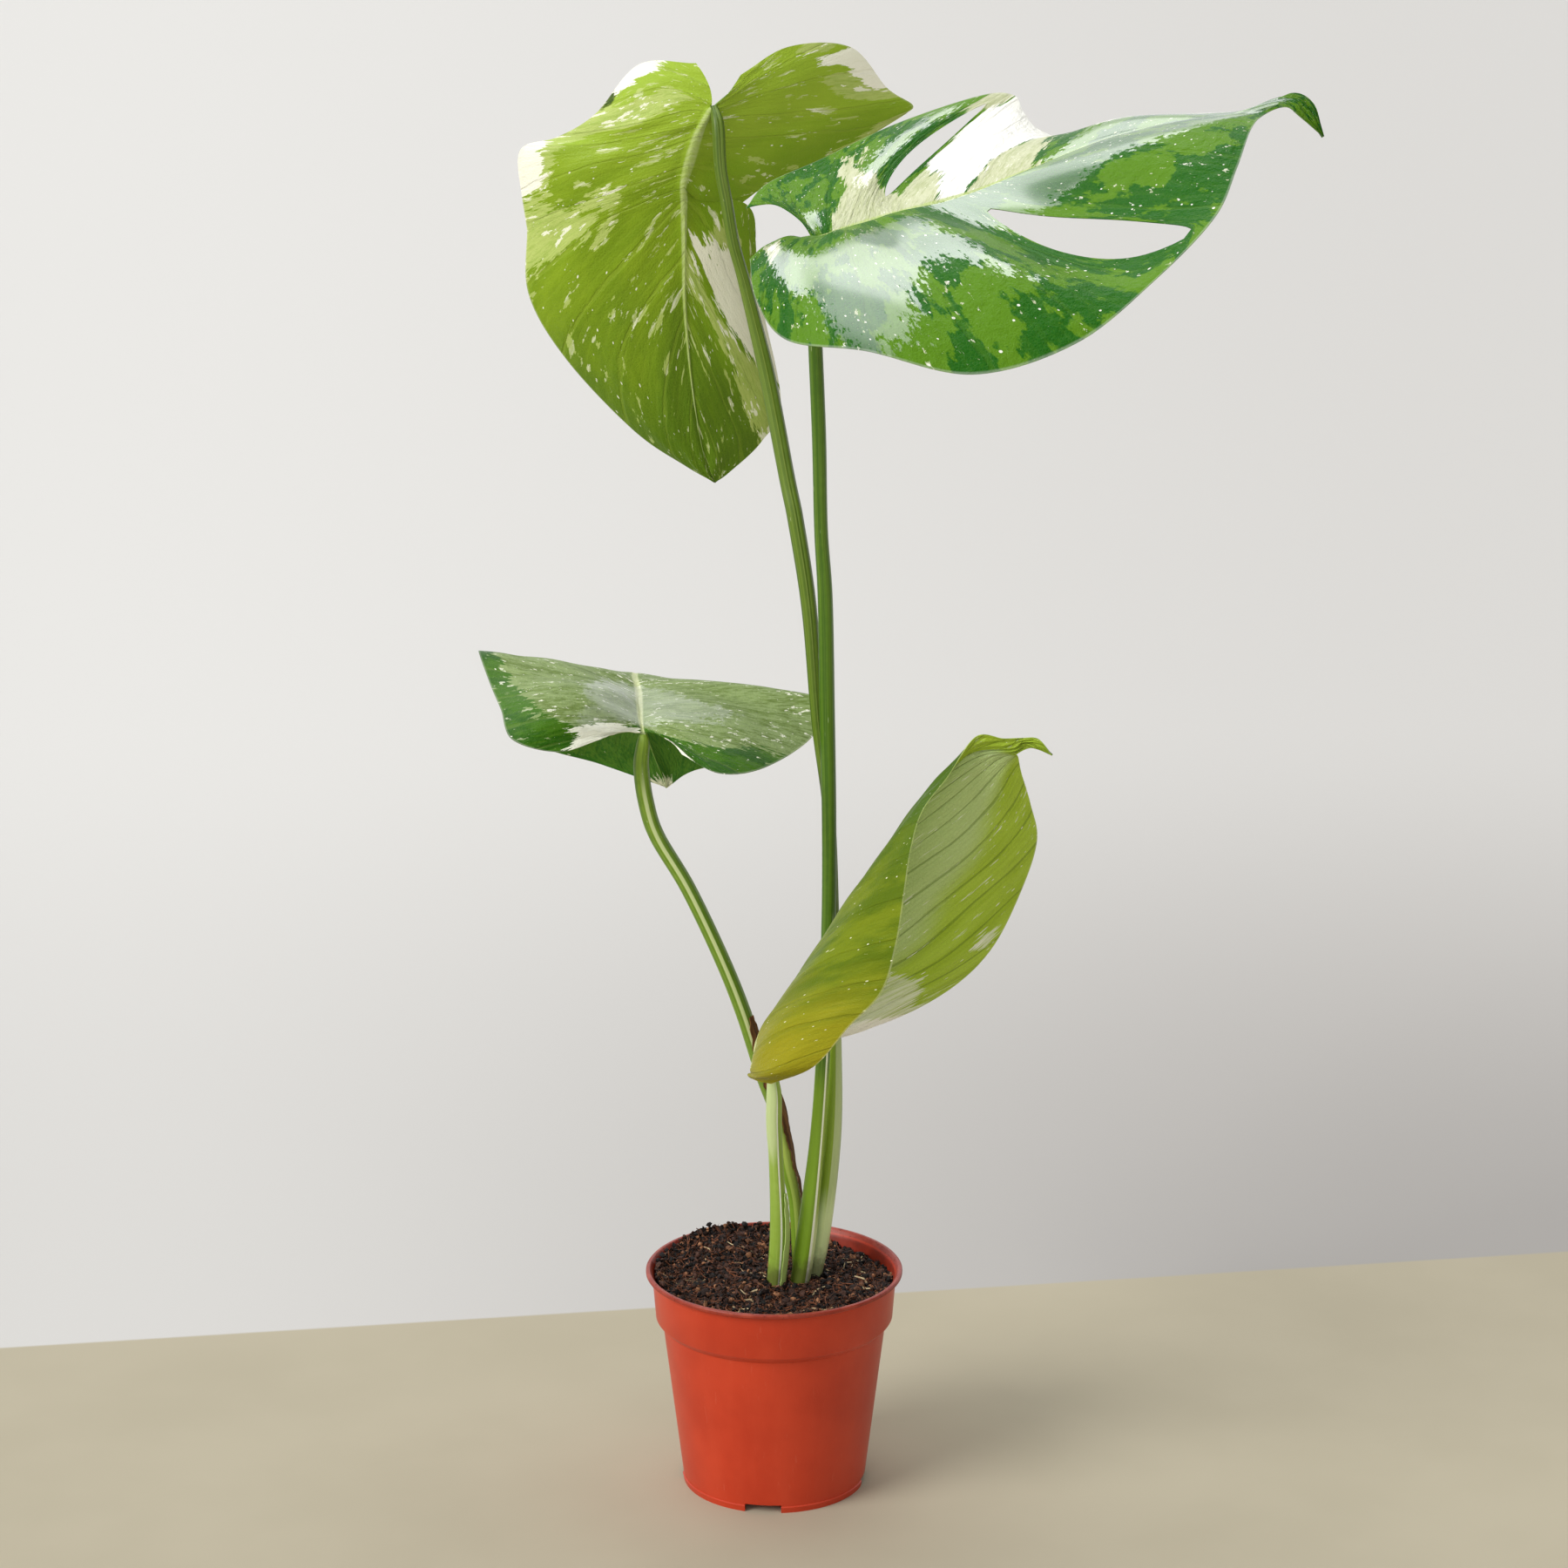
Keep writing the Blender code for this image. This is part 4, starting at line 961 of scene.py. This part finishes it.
def stalk(name, route, groove=None):
    """A tapering stalk on its route of (x, y, z, radius); groove = (turn, depth) sinks a channel in it."""
    rings, round_ring = follow(route, 10)
    rows = len(rings) - 1
    groove_width = 0.035

    def place(u, v):
        step = np.round(v * (rows + 2)).astype(int) - 1
        ring = np.clip(step, 0, rows)
        turn = 2 * pi * u
        radius = rings[ring, 3] * (1 + 0.012 * np.cos(9 * turn) + 0.02 * np.cos(4 * turn + ring / 40))
        if groove:
            off_groove = (u - groove[0] + 0.5) % 1 - 0.5
            radius *= 1 - groove[1] * np.exp(-(off_groove / groove_width) ** 2)
        closed_end = (step < 0) | (step > rows)
        return round_ring(ring, turn, np.where(closed_end, 0.0, radius))

    made = shaped_grid(name, 40, rows + 2, place)
    weld(made)
    settle(made, 70)
    return made


def stalk_finish(name, dark, light, washes, shift, roughness=0.34):
    """Stalk skin of two greens; washes = (first turn, last turn, lowest, highest, colour, strength)."""
    made, start, shader = new_finish(name, specular_ior_level=0.4)
    skin = start.node("TexCoord", out="UV")
    place = start.node("TexCoord", out="Object")
    turn = skin.axis("X")
    height_up = place.axis("Z")
    streak = skin.stretch((9, 1.3, 1), (shift, 0, 0)).noise(1.0, 4, 0.6)
    hair = skin.stretch((70, 5, 1), (shift, 0, 0)).noise(1.0, 3, 0.6)
    mottle = place.noise(260, 3)
    colour = (streak + (mottle - 0.5) * 0.2).rise(0.38, 0.62).between(dark, light)
    colour = (hair.rise(0.5, 0.75) * 0.25).between(colour, tint(196, 214, 110))
    wander = turn + (streak - 0.5) * 0.03
    climb = height_up + (streak - 0.5) * 0.03
    for first, last, low, high, wash, strength in washes:
        round_it = wander.rise(first - 0.008, first + 0.008)
        round_it = round_it * wander.rise(last - 0.008, last + 0.008, 1.0, 0.0)
        up_it = climb.rise(low - 0.008, low + 0.008) * climb.rise(high - 0.01, high + 0.01, 1.0, 0.0)
        colour = (round_it * up_it * strength).between(colour, wash)
    drops = {"Vector": skin.stretch((26, 60, 1), (shift, 0, 0)), "Scale": 1.0}
    drop = start.node("TexVoronoi", (), drops).rise(0.1, 0.16, 1.0, 0.0)
    chance = start.node("TexVoronoi", (), drops, out="Color").axis("X").rise(0.94, 0.96)
    colour = (drop * chance * 0.5).between(colour, tint(226, 232, 190))
    soil_stain = (height_up + (mottle - 0.5) * 0.012).rise(0.103, 0.114, 1.0, 0.0)
    colour = (soil_stain * 0.7).between(colour, tint(70, 66, 20))
    lay_on(colour, shader, "Base Color")
    lay_on(mottle * 0.16 + soil_stain * 0.3 + (roughness - 0.08), shader, "Roughness")
    raise_grain(hair * 0.8 + mottle * 0.4, shader, 0.0002)
    return made


stalk_high_left = stalk("stalk_upper_left", [
    (14, 8, 78, 3.6), (17, 8, 92, 3.9), (22, 7, 121, 4.5), (27, 7, 170, 4.3), (28, 9, 219, 3.1),
    (27, 9, 274, 2.9), (25, 10, 323, 2.8), (20, 12, 363, 2.9), (16, 16, 415, 3.5), (10, 22, 454, 3.7),
    (6, 28, 473, 3.7), (-3, 40, 518, 3.7), (-13, 48, 558, 2.9), (-18, 50, 576, 2.8),
    (-21, 52, 593, 2.8), (-24, 54, 610, 2.9), (-25, 57, 628, 2.9), (-27, 62, 636, 1.8)], groove=(0.2, 0.14))
stalk_high_left.data.materials.append(stalk_finish(
    "upper_left_stalk_skin", tint(78, 106, 22), tint(98, 124, 32),
    # The pale wash up to 135 mm is partly the foot's own pale skin and partly painted light where the stalk
    # in front shades it.
    [(0.0, 0.22, 0.08, 0.26, tint(196, 212, 150), 0.85), (0.22, 0.5, 0.08, 0.22, tint(146, 176, 48), 0.8),
     (0.0, 0.03, 0.08, 0.3, tint(120, 154, 60), 0.8), (0.0, 0.5, 0.08, 0.135, tint(226, 244, 176), 0.85),
     (0.23, 0.25, 0.22, 0.62, tint(160, 180, 90), 0.55), (0.31, 0.33, 0.24, 0.62, tint(136, 160, 64), 0.4)],
    2.0))
stalk_high_right = stalk("stalk_upper_right", [
    (8, -3, 78, 4.2), (11, -3, 92, 4.4), (15, -2, 121, 4.6), (20, -2, 170, 3.4), (23, -1, 219, 3.2),
    (25, -1, 274, 3.3), (25, -1, 323, 3.3), (24, -1, 372, 3.5), (23, -2, 423, 3.4), (21, -3, 456, 3.1),
    (20, -5, 498, 3.2), (18, -8, 545, 3.2), (17, -10, 574, 3.0), (17, -10, 583, 1.8)])
stalk_high_right.data.materials.append(stalk_finish(
    "upper_right_stalk_skin", tint(64, 102, 18), tint(86, 122, 24),
    [(0.0, 0.13, 0.08, 0.2, tint(160, 186, 62), 0.8), (0.0, 0.15, 0.08, 0.13, tint(226, 244, 176), 0.9),
     (0.125, 0.17, 0.08, 0.27, tint(250, 255, 226), 1.0), (0.17, 0.5, 0.08, 0.2, tint(134, 170, 40), 0.8),
     (0.43, 0.455, 0.1, 0.22, tint(160, 192, 84), 0.6)],
    5.0))
stalk_middle = stalk("stalk_middle_left", [
    (13, 16, 78, 3.0), (12, 14, 92, 3.0), (10, 10, 132, 3.1), (6, 5, 154, 3.2), (2, 2, 178, 3.3),
    (-5, 0, 200, 3.7), (-14, -2, 230, 3.6), (-24, -4, 257, 3.5), (-39, -4, 290, 3.5), (-53, -2, 314, 3.6),
    (-58, -1, 330, 3.7), (-60, 0, 346, 3.6), (-59, 0, 357, 3.0), (-59, 0, 361, 1.8)])
stalk_middle.data.materials.append(stalk_finish(
    "middle_stalk_skin", tint(92, 126, 28), tint(128, 158, 46),
    [(0.0, 0.3, 0.1, 0.17, tint(186, 206, 100), 0.8), (0.3, 0.5, 0.1, 0.17, tint(130, 164, 50), 0.8),
     (0.2, 0.28, 0.2, 0.34, tint(208, 218, 160), 0.8)], 8.0))
stalk_low = stalk("stalk_lower_right", [
    (-1, -6, 78, 3.8), (0, -6, 92, 4.0), (2, -8, 125, 4.0), (1, -12, 159, 3.3), (0, -16, 181, 3.6),
    (0, -19, 197, 3.4), (-1, -20, 208, 2.0)])
stalk_low.data.materials.append(stalk_finish(
    "lower_stalk_skin", tint(142, 172, 62), tint(160, 186, 84),
    [(0.17, 0.205, 0.08, 0.2, tint(255, 255, 244), 1.0),
     (0.19, 0.5, 0.165, 0.21, tint(200, 216, 156), 0.85), (0.44, 0.5, 0.08, 0.165, tint(96, 140, 30), 0.6)],
    12.0, 0.4))
belongs(stalk_high_left, "stalk_green", "petiole_upper_left")
belongs(stalk_high_right, "stalk_green", "petiole_upper_right")
belongs(stalk_middle, "stalk_green", "petiole_middle_left")
belongs(stalk_low, "stalk_green", "petiole_lower_right")


# ---------------------------------------------------------------- sheaths
# Each stalk's foot was wrapped in a thin sheath. The lower stalk's is still pale and ends in a point;
# the middle stalk's has dried to a brown papery strip with a frayed edge.
def sheath(name, route, tear, thickness):
    """An open trough round a stalk: route points (x, y, z, radius, first angle, last angle)."""
    rings, round_ring = follow(route, 12)
    rows = len(rings) - 1
    fray = np.random.default_rng(3).normal(0, tear, (rows + 1, 2))
    clearance = 0.25

    def place(u, v):
        ring = np.round(v * rows).astype(int)
        first, last = rings[ring, 4] + fray[ring, 0], rings[ring, 5] + fray[ring, 1]
        turn = np.radians(first + (last - first) * u)
        flare = 0.7 * (2 * np.abs(u - 0.5)) ** 3 * (0.4 + 0.6 * np.sin(v * 17 + u * 3) ** 2)
        return round_ring(ring, turn, rings[ring, 3] + clearance + flare)

    made = shaped_grid(name, 14, rows, place)
    apply_modifier(made, 'SOLIDIFY', thickness=thickness * MM, offset=0)
    settle(made, 50)
    return made


dry_wrap = sheath("dried_wrap", [
    (11, 11, 124, 3.2, 4, 26), (9, 8, 140, 3.4, -4, 34), (6, 5, 154, 3.5, -10, 44),
    (2, 2, 178, 3.7, -10, 76), (-5, 0, 200, 4.2, 0, 105), (-14, -2, 228, 4.1, 20, 60)], 4.0, 0.3)
papery, start, shader = new_finish("dried_papery_sheath", specular_ior_level=0.3)
skin = start.node("TexCoord", out="UV")
fibre = skin.stretch((34, 3, 1)).noise(1.0, 4, 0.65)
blot = skin.stretch((3, 7, 1)).noise(1.0, 3)
colour = blot.rise(0.35, 0.65).between(tint(84, 48, 24), tint(150, 98, 54))
colour = (fibre.rise(0.5, 0.75) * 0.6).between(colour, tint(196, 152, 100))
colour = (fibre.rise(0.2, 0.4, 1.0, 0.0) * 0.7).between(colour, tint(48, 26, 14))
lay_on(colour, shader, "Base Color")
lay_on(fibre * 0.3 + 0.5, shader, "Roughness")
raise_grain(fibre, shader, 0.0006)
dry_wrap.data.materials.append(papery)
belongs(dry_wrap, "sheath_dry", "dried_sheath")

pale_wrap = sheath("pale_wrap", [
    (0.3, -6, 98, 4.5, -70, 64), (1.2, -7, 110, 4.9, -60, 62), (2.2, -8, 125, 4.9, -40, 58),
    (1.8, -10, 138, 4.2, -5, 50), (1.5, -11, 146, 3.7, 14, 40)], 0.6, 0.35)
membrane, start, shader = new_finish("pale_sheath_membrane", specular_ior_level=0.45)
skin = start.node("TexCoord", out="UV")
fibre = skin.stretch((24, 1.6, 1)).noise(1.0, 4, 0.6)
colour = fibre.rise(0.3, 0.7).between(tint(172, 200, 104), tint(192, 216, 132))
colour = skin.axis("X").rise(0.06, 0.12, 1.0, 0.0).between(colour, tint(246, 248, 220))
lay_on(colour, shader, "Base Color")
lay_on(fibre * 0.15 + 0.34, shader, "Roughness")
raise_grain(fibre, shader, 0.0003)
pale_wrap.data.materials.append(membrane)
belongs(pale_wrap, "sheath_pale", "pale_sheath")


# ---------------------------------------------------------------- studio
# A warm beige board on a pale grey ground, with painted shade that darkens it softly to the front right.
# One soft key from the front left, a weak front fill and a broad light from above and behind. The surround
# looks even, but gloss picks up a bright wall behind, a brighter ceiling and a dark room in front.
bpy.ops.mesh.primitive_plane_add(size=60)
floor = bpy.context.object
floor.name = "studio_floor"
cloth, start, shader = new_finish("studio_paper", roughness=0.9, specular_ior_level=0.1)
place = start.node("TexCoord", out="Object")
board_slant, board_edge = 0.163, 0.2185
beyond = (place.axis("Y") - place.axis("X") * board_slant - board_edge).rise(-0.0015, 0.0015)
mottled = place.noise(9, 3).rise(0.3, 0.7)
away = (place.axis("Y") + 1.7) | 1.9
to_right = (place.axis("X") / away).rise(-0.2, 0.2)
close_by = away.rise(1.9, 3.3, 1.0, 0.0)
# Painted shade: the grey ground is painted darker to the right and just beyond the board, as a light
# falloff.
painted_falloff_shade = to_right * 0.26 + close_by * 0.22 + to_right * close_by * 0.36
grey_ground = painted_falloff_shade.between(tint(222, 221, 219), tint(158, 154, 151))
colour = beyond.between(mottled.between(tint(182, 174, 153), tint(186, 178, 157)), grey_ground)
lay_on(colour, shader, "Base Color")
lay_on(place.noise(1400, 2) * 0.1 + 0.85, shader, "Roughness")
floor.data.materials.append(cloth)


def soft_sun(name, energy, spread, azimuth, elevation, colour):
    """A broad far light; azimuth 0 stands behind the viewer, 90 to the viewer's right."""
    lamp = bpy.data.lights.new(name, 'SUN')
    lamp.energy, lamp.angle, lamp.color = energy, radians(spread), colour
    holder = bpy.data.objects.new(name, lamp)
    holder.rotation_euler = (radians(90 - elevation), 0, radians(azimuth))
    bpy.context.collection.objects.link(holder)


soft_sun("key_softbox", 2.3, 32, -56, 33, (1.0, 0.985, 0.96))
soft_sun("front_fill", 0.6, 60, 4, 14, (1.0, 1.0, 1.0))
soft_sun("top_softbox", 1.1, 50, -163, 68, (1.0, 1.0, 1.0))

world = bpy.data.worlds.new("studio_surround")
bpy.context.scene.world = world
world.use_nodes = True
tree = world.node_tree
sky = Wire(tree)
way = sky.node("TexCoord", out="Generated")
wall_glow = way.axis("Y").rise(0.15, 0.6, 0.04, 1.05) | way.axis("Z").rise(0.72, 0.95, 0.0, 2.1)
seen = sky.node("LightPath", out="Is Camera Ray")
mirrored = sky.node("LightPath", out="Is Glossy Ray")
backdrop = sky.node("Background", (), {"Color": (0.78, 0.77, 0.765, 1.0), "Strength": 1.0})
ambient = sky.node("Background", (), {"Color": (0.95, 0.95, 0.93, 1.0), "Strength": 0.38})
gleam = sky.node("Background", (), {"Color": (0.97, 0.98, 1.0, 1.0), "Strength": wall_glow})
indirect = sky.node("MixShader", (), {0: mirrored, 1: ambient, 2: gleam})
surround = sky.node("MixShader", (), {0: seen, 1: indirect, 2: backdrop})
tree.links.new(surround.socket, tree.nodes["World Output"].inputs["Surface"])
bpy.context.scene.view_settings.view_transform = 'Standard'

lens = bpy.data.cameras.new("camera")
lens.lens, lens.sensor_width = 85, 36
camera = bpy.data.objects.new("camera", lens)
camera.location = (0.0046, -1.6265, 0.7443)
look_down = 14.03
camera.rotation_euler = (radians(90 - look_down), 0, 0)
bpy.context.collection.objects.link(camera)
bpy.context.scene.camera = camera
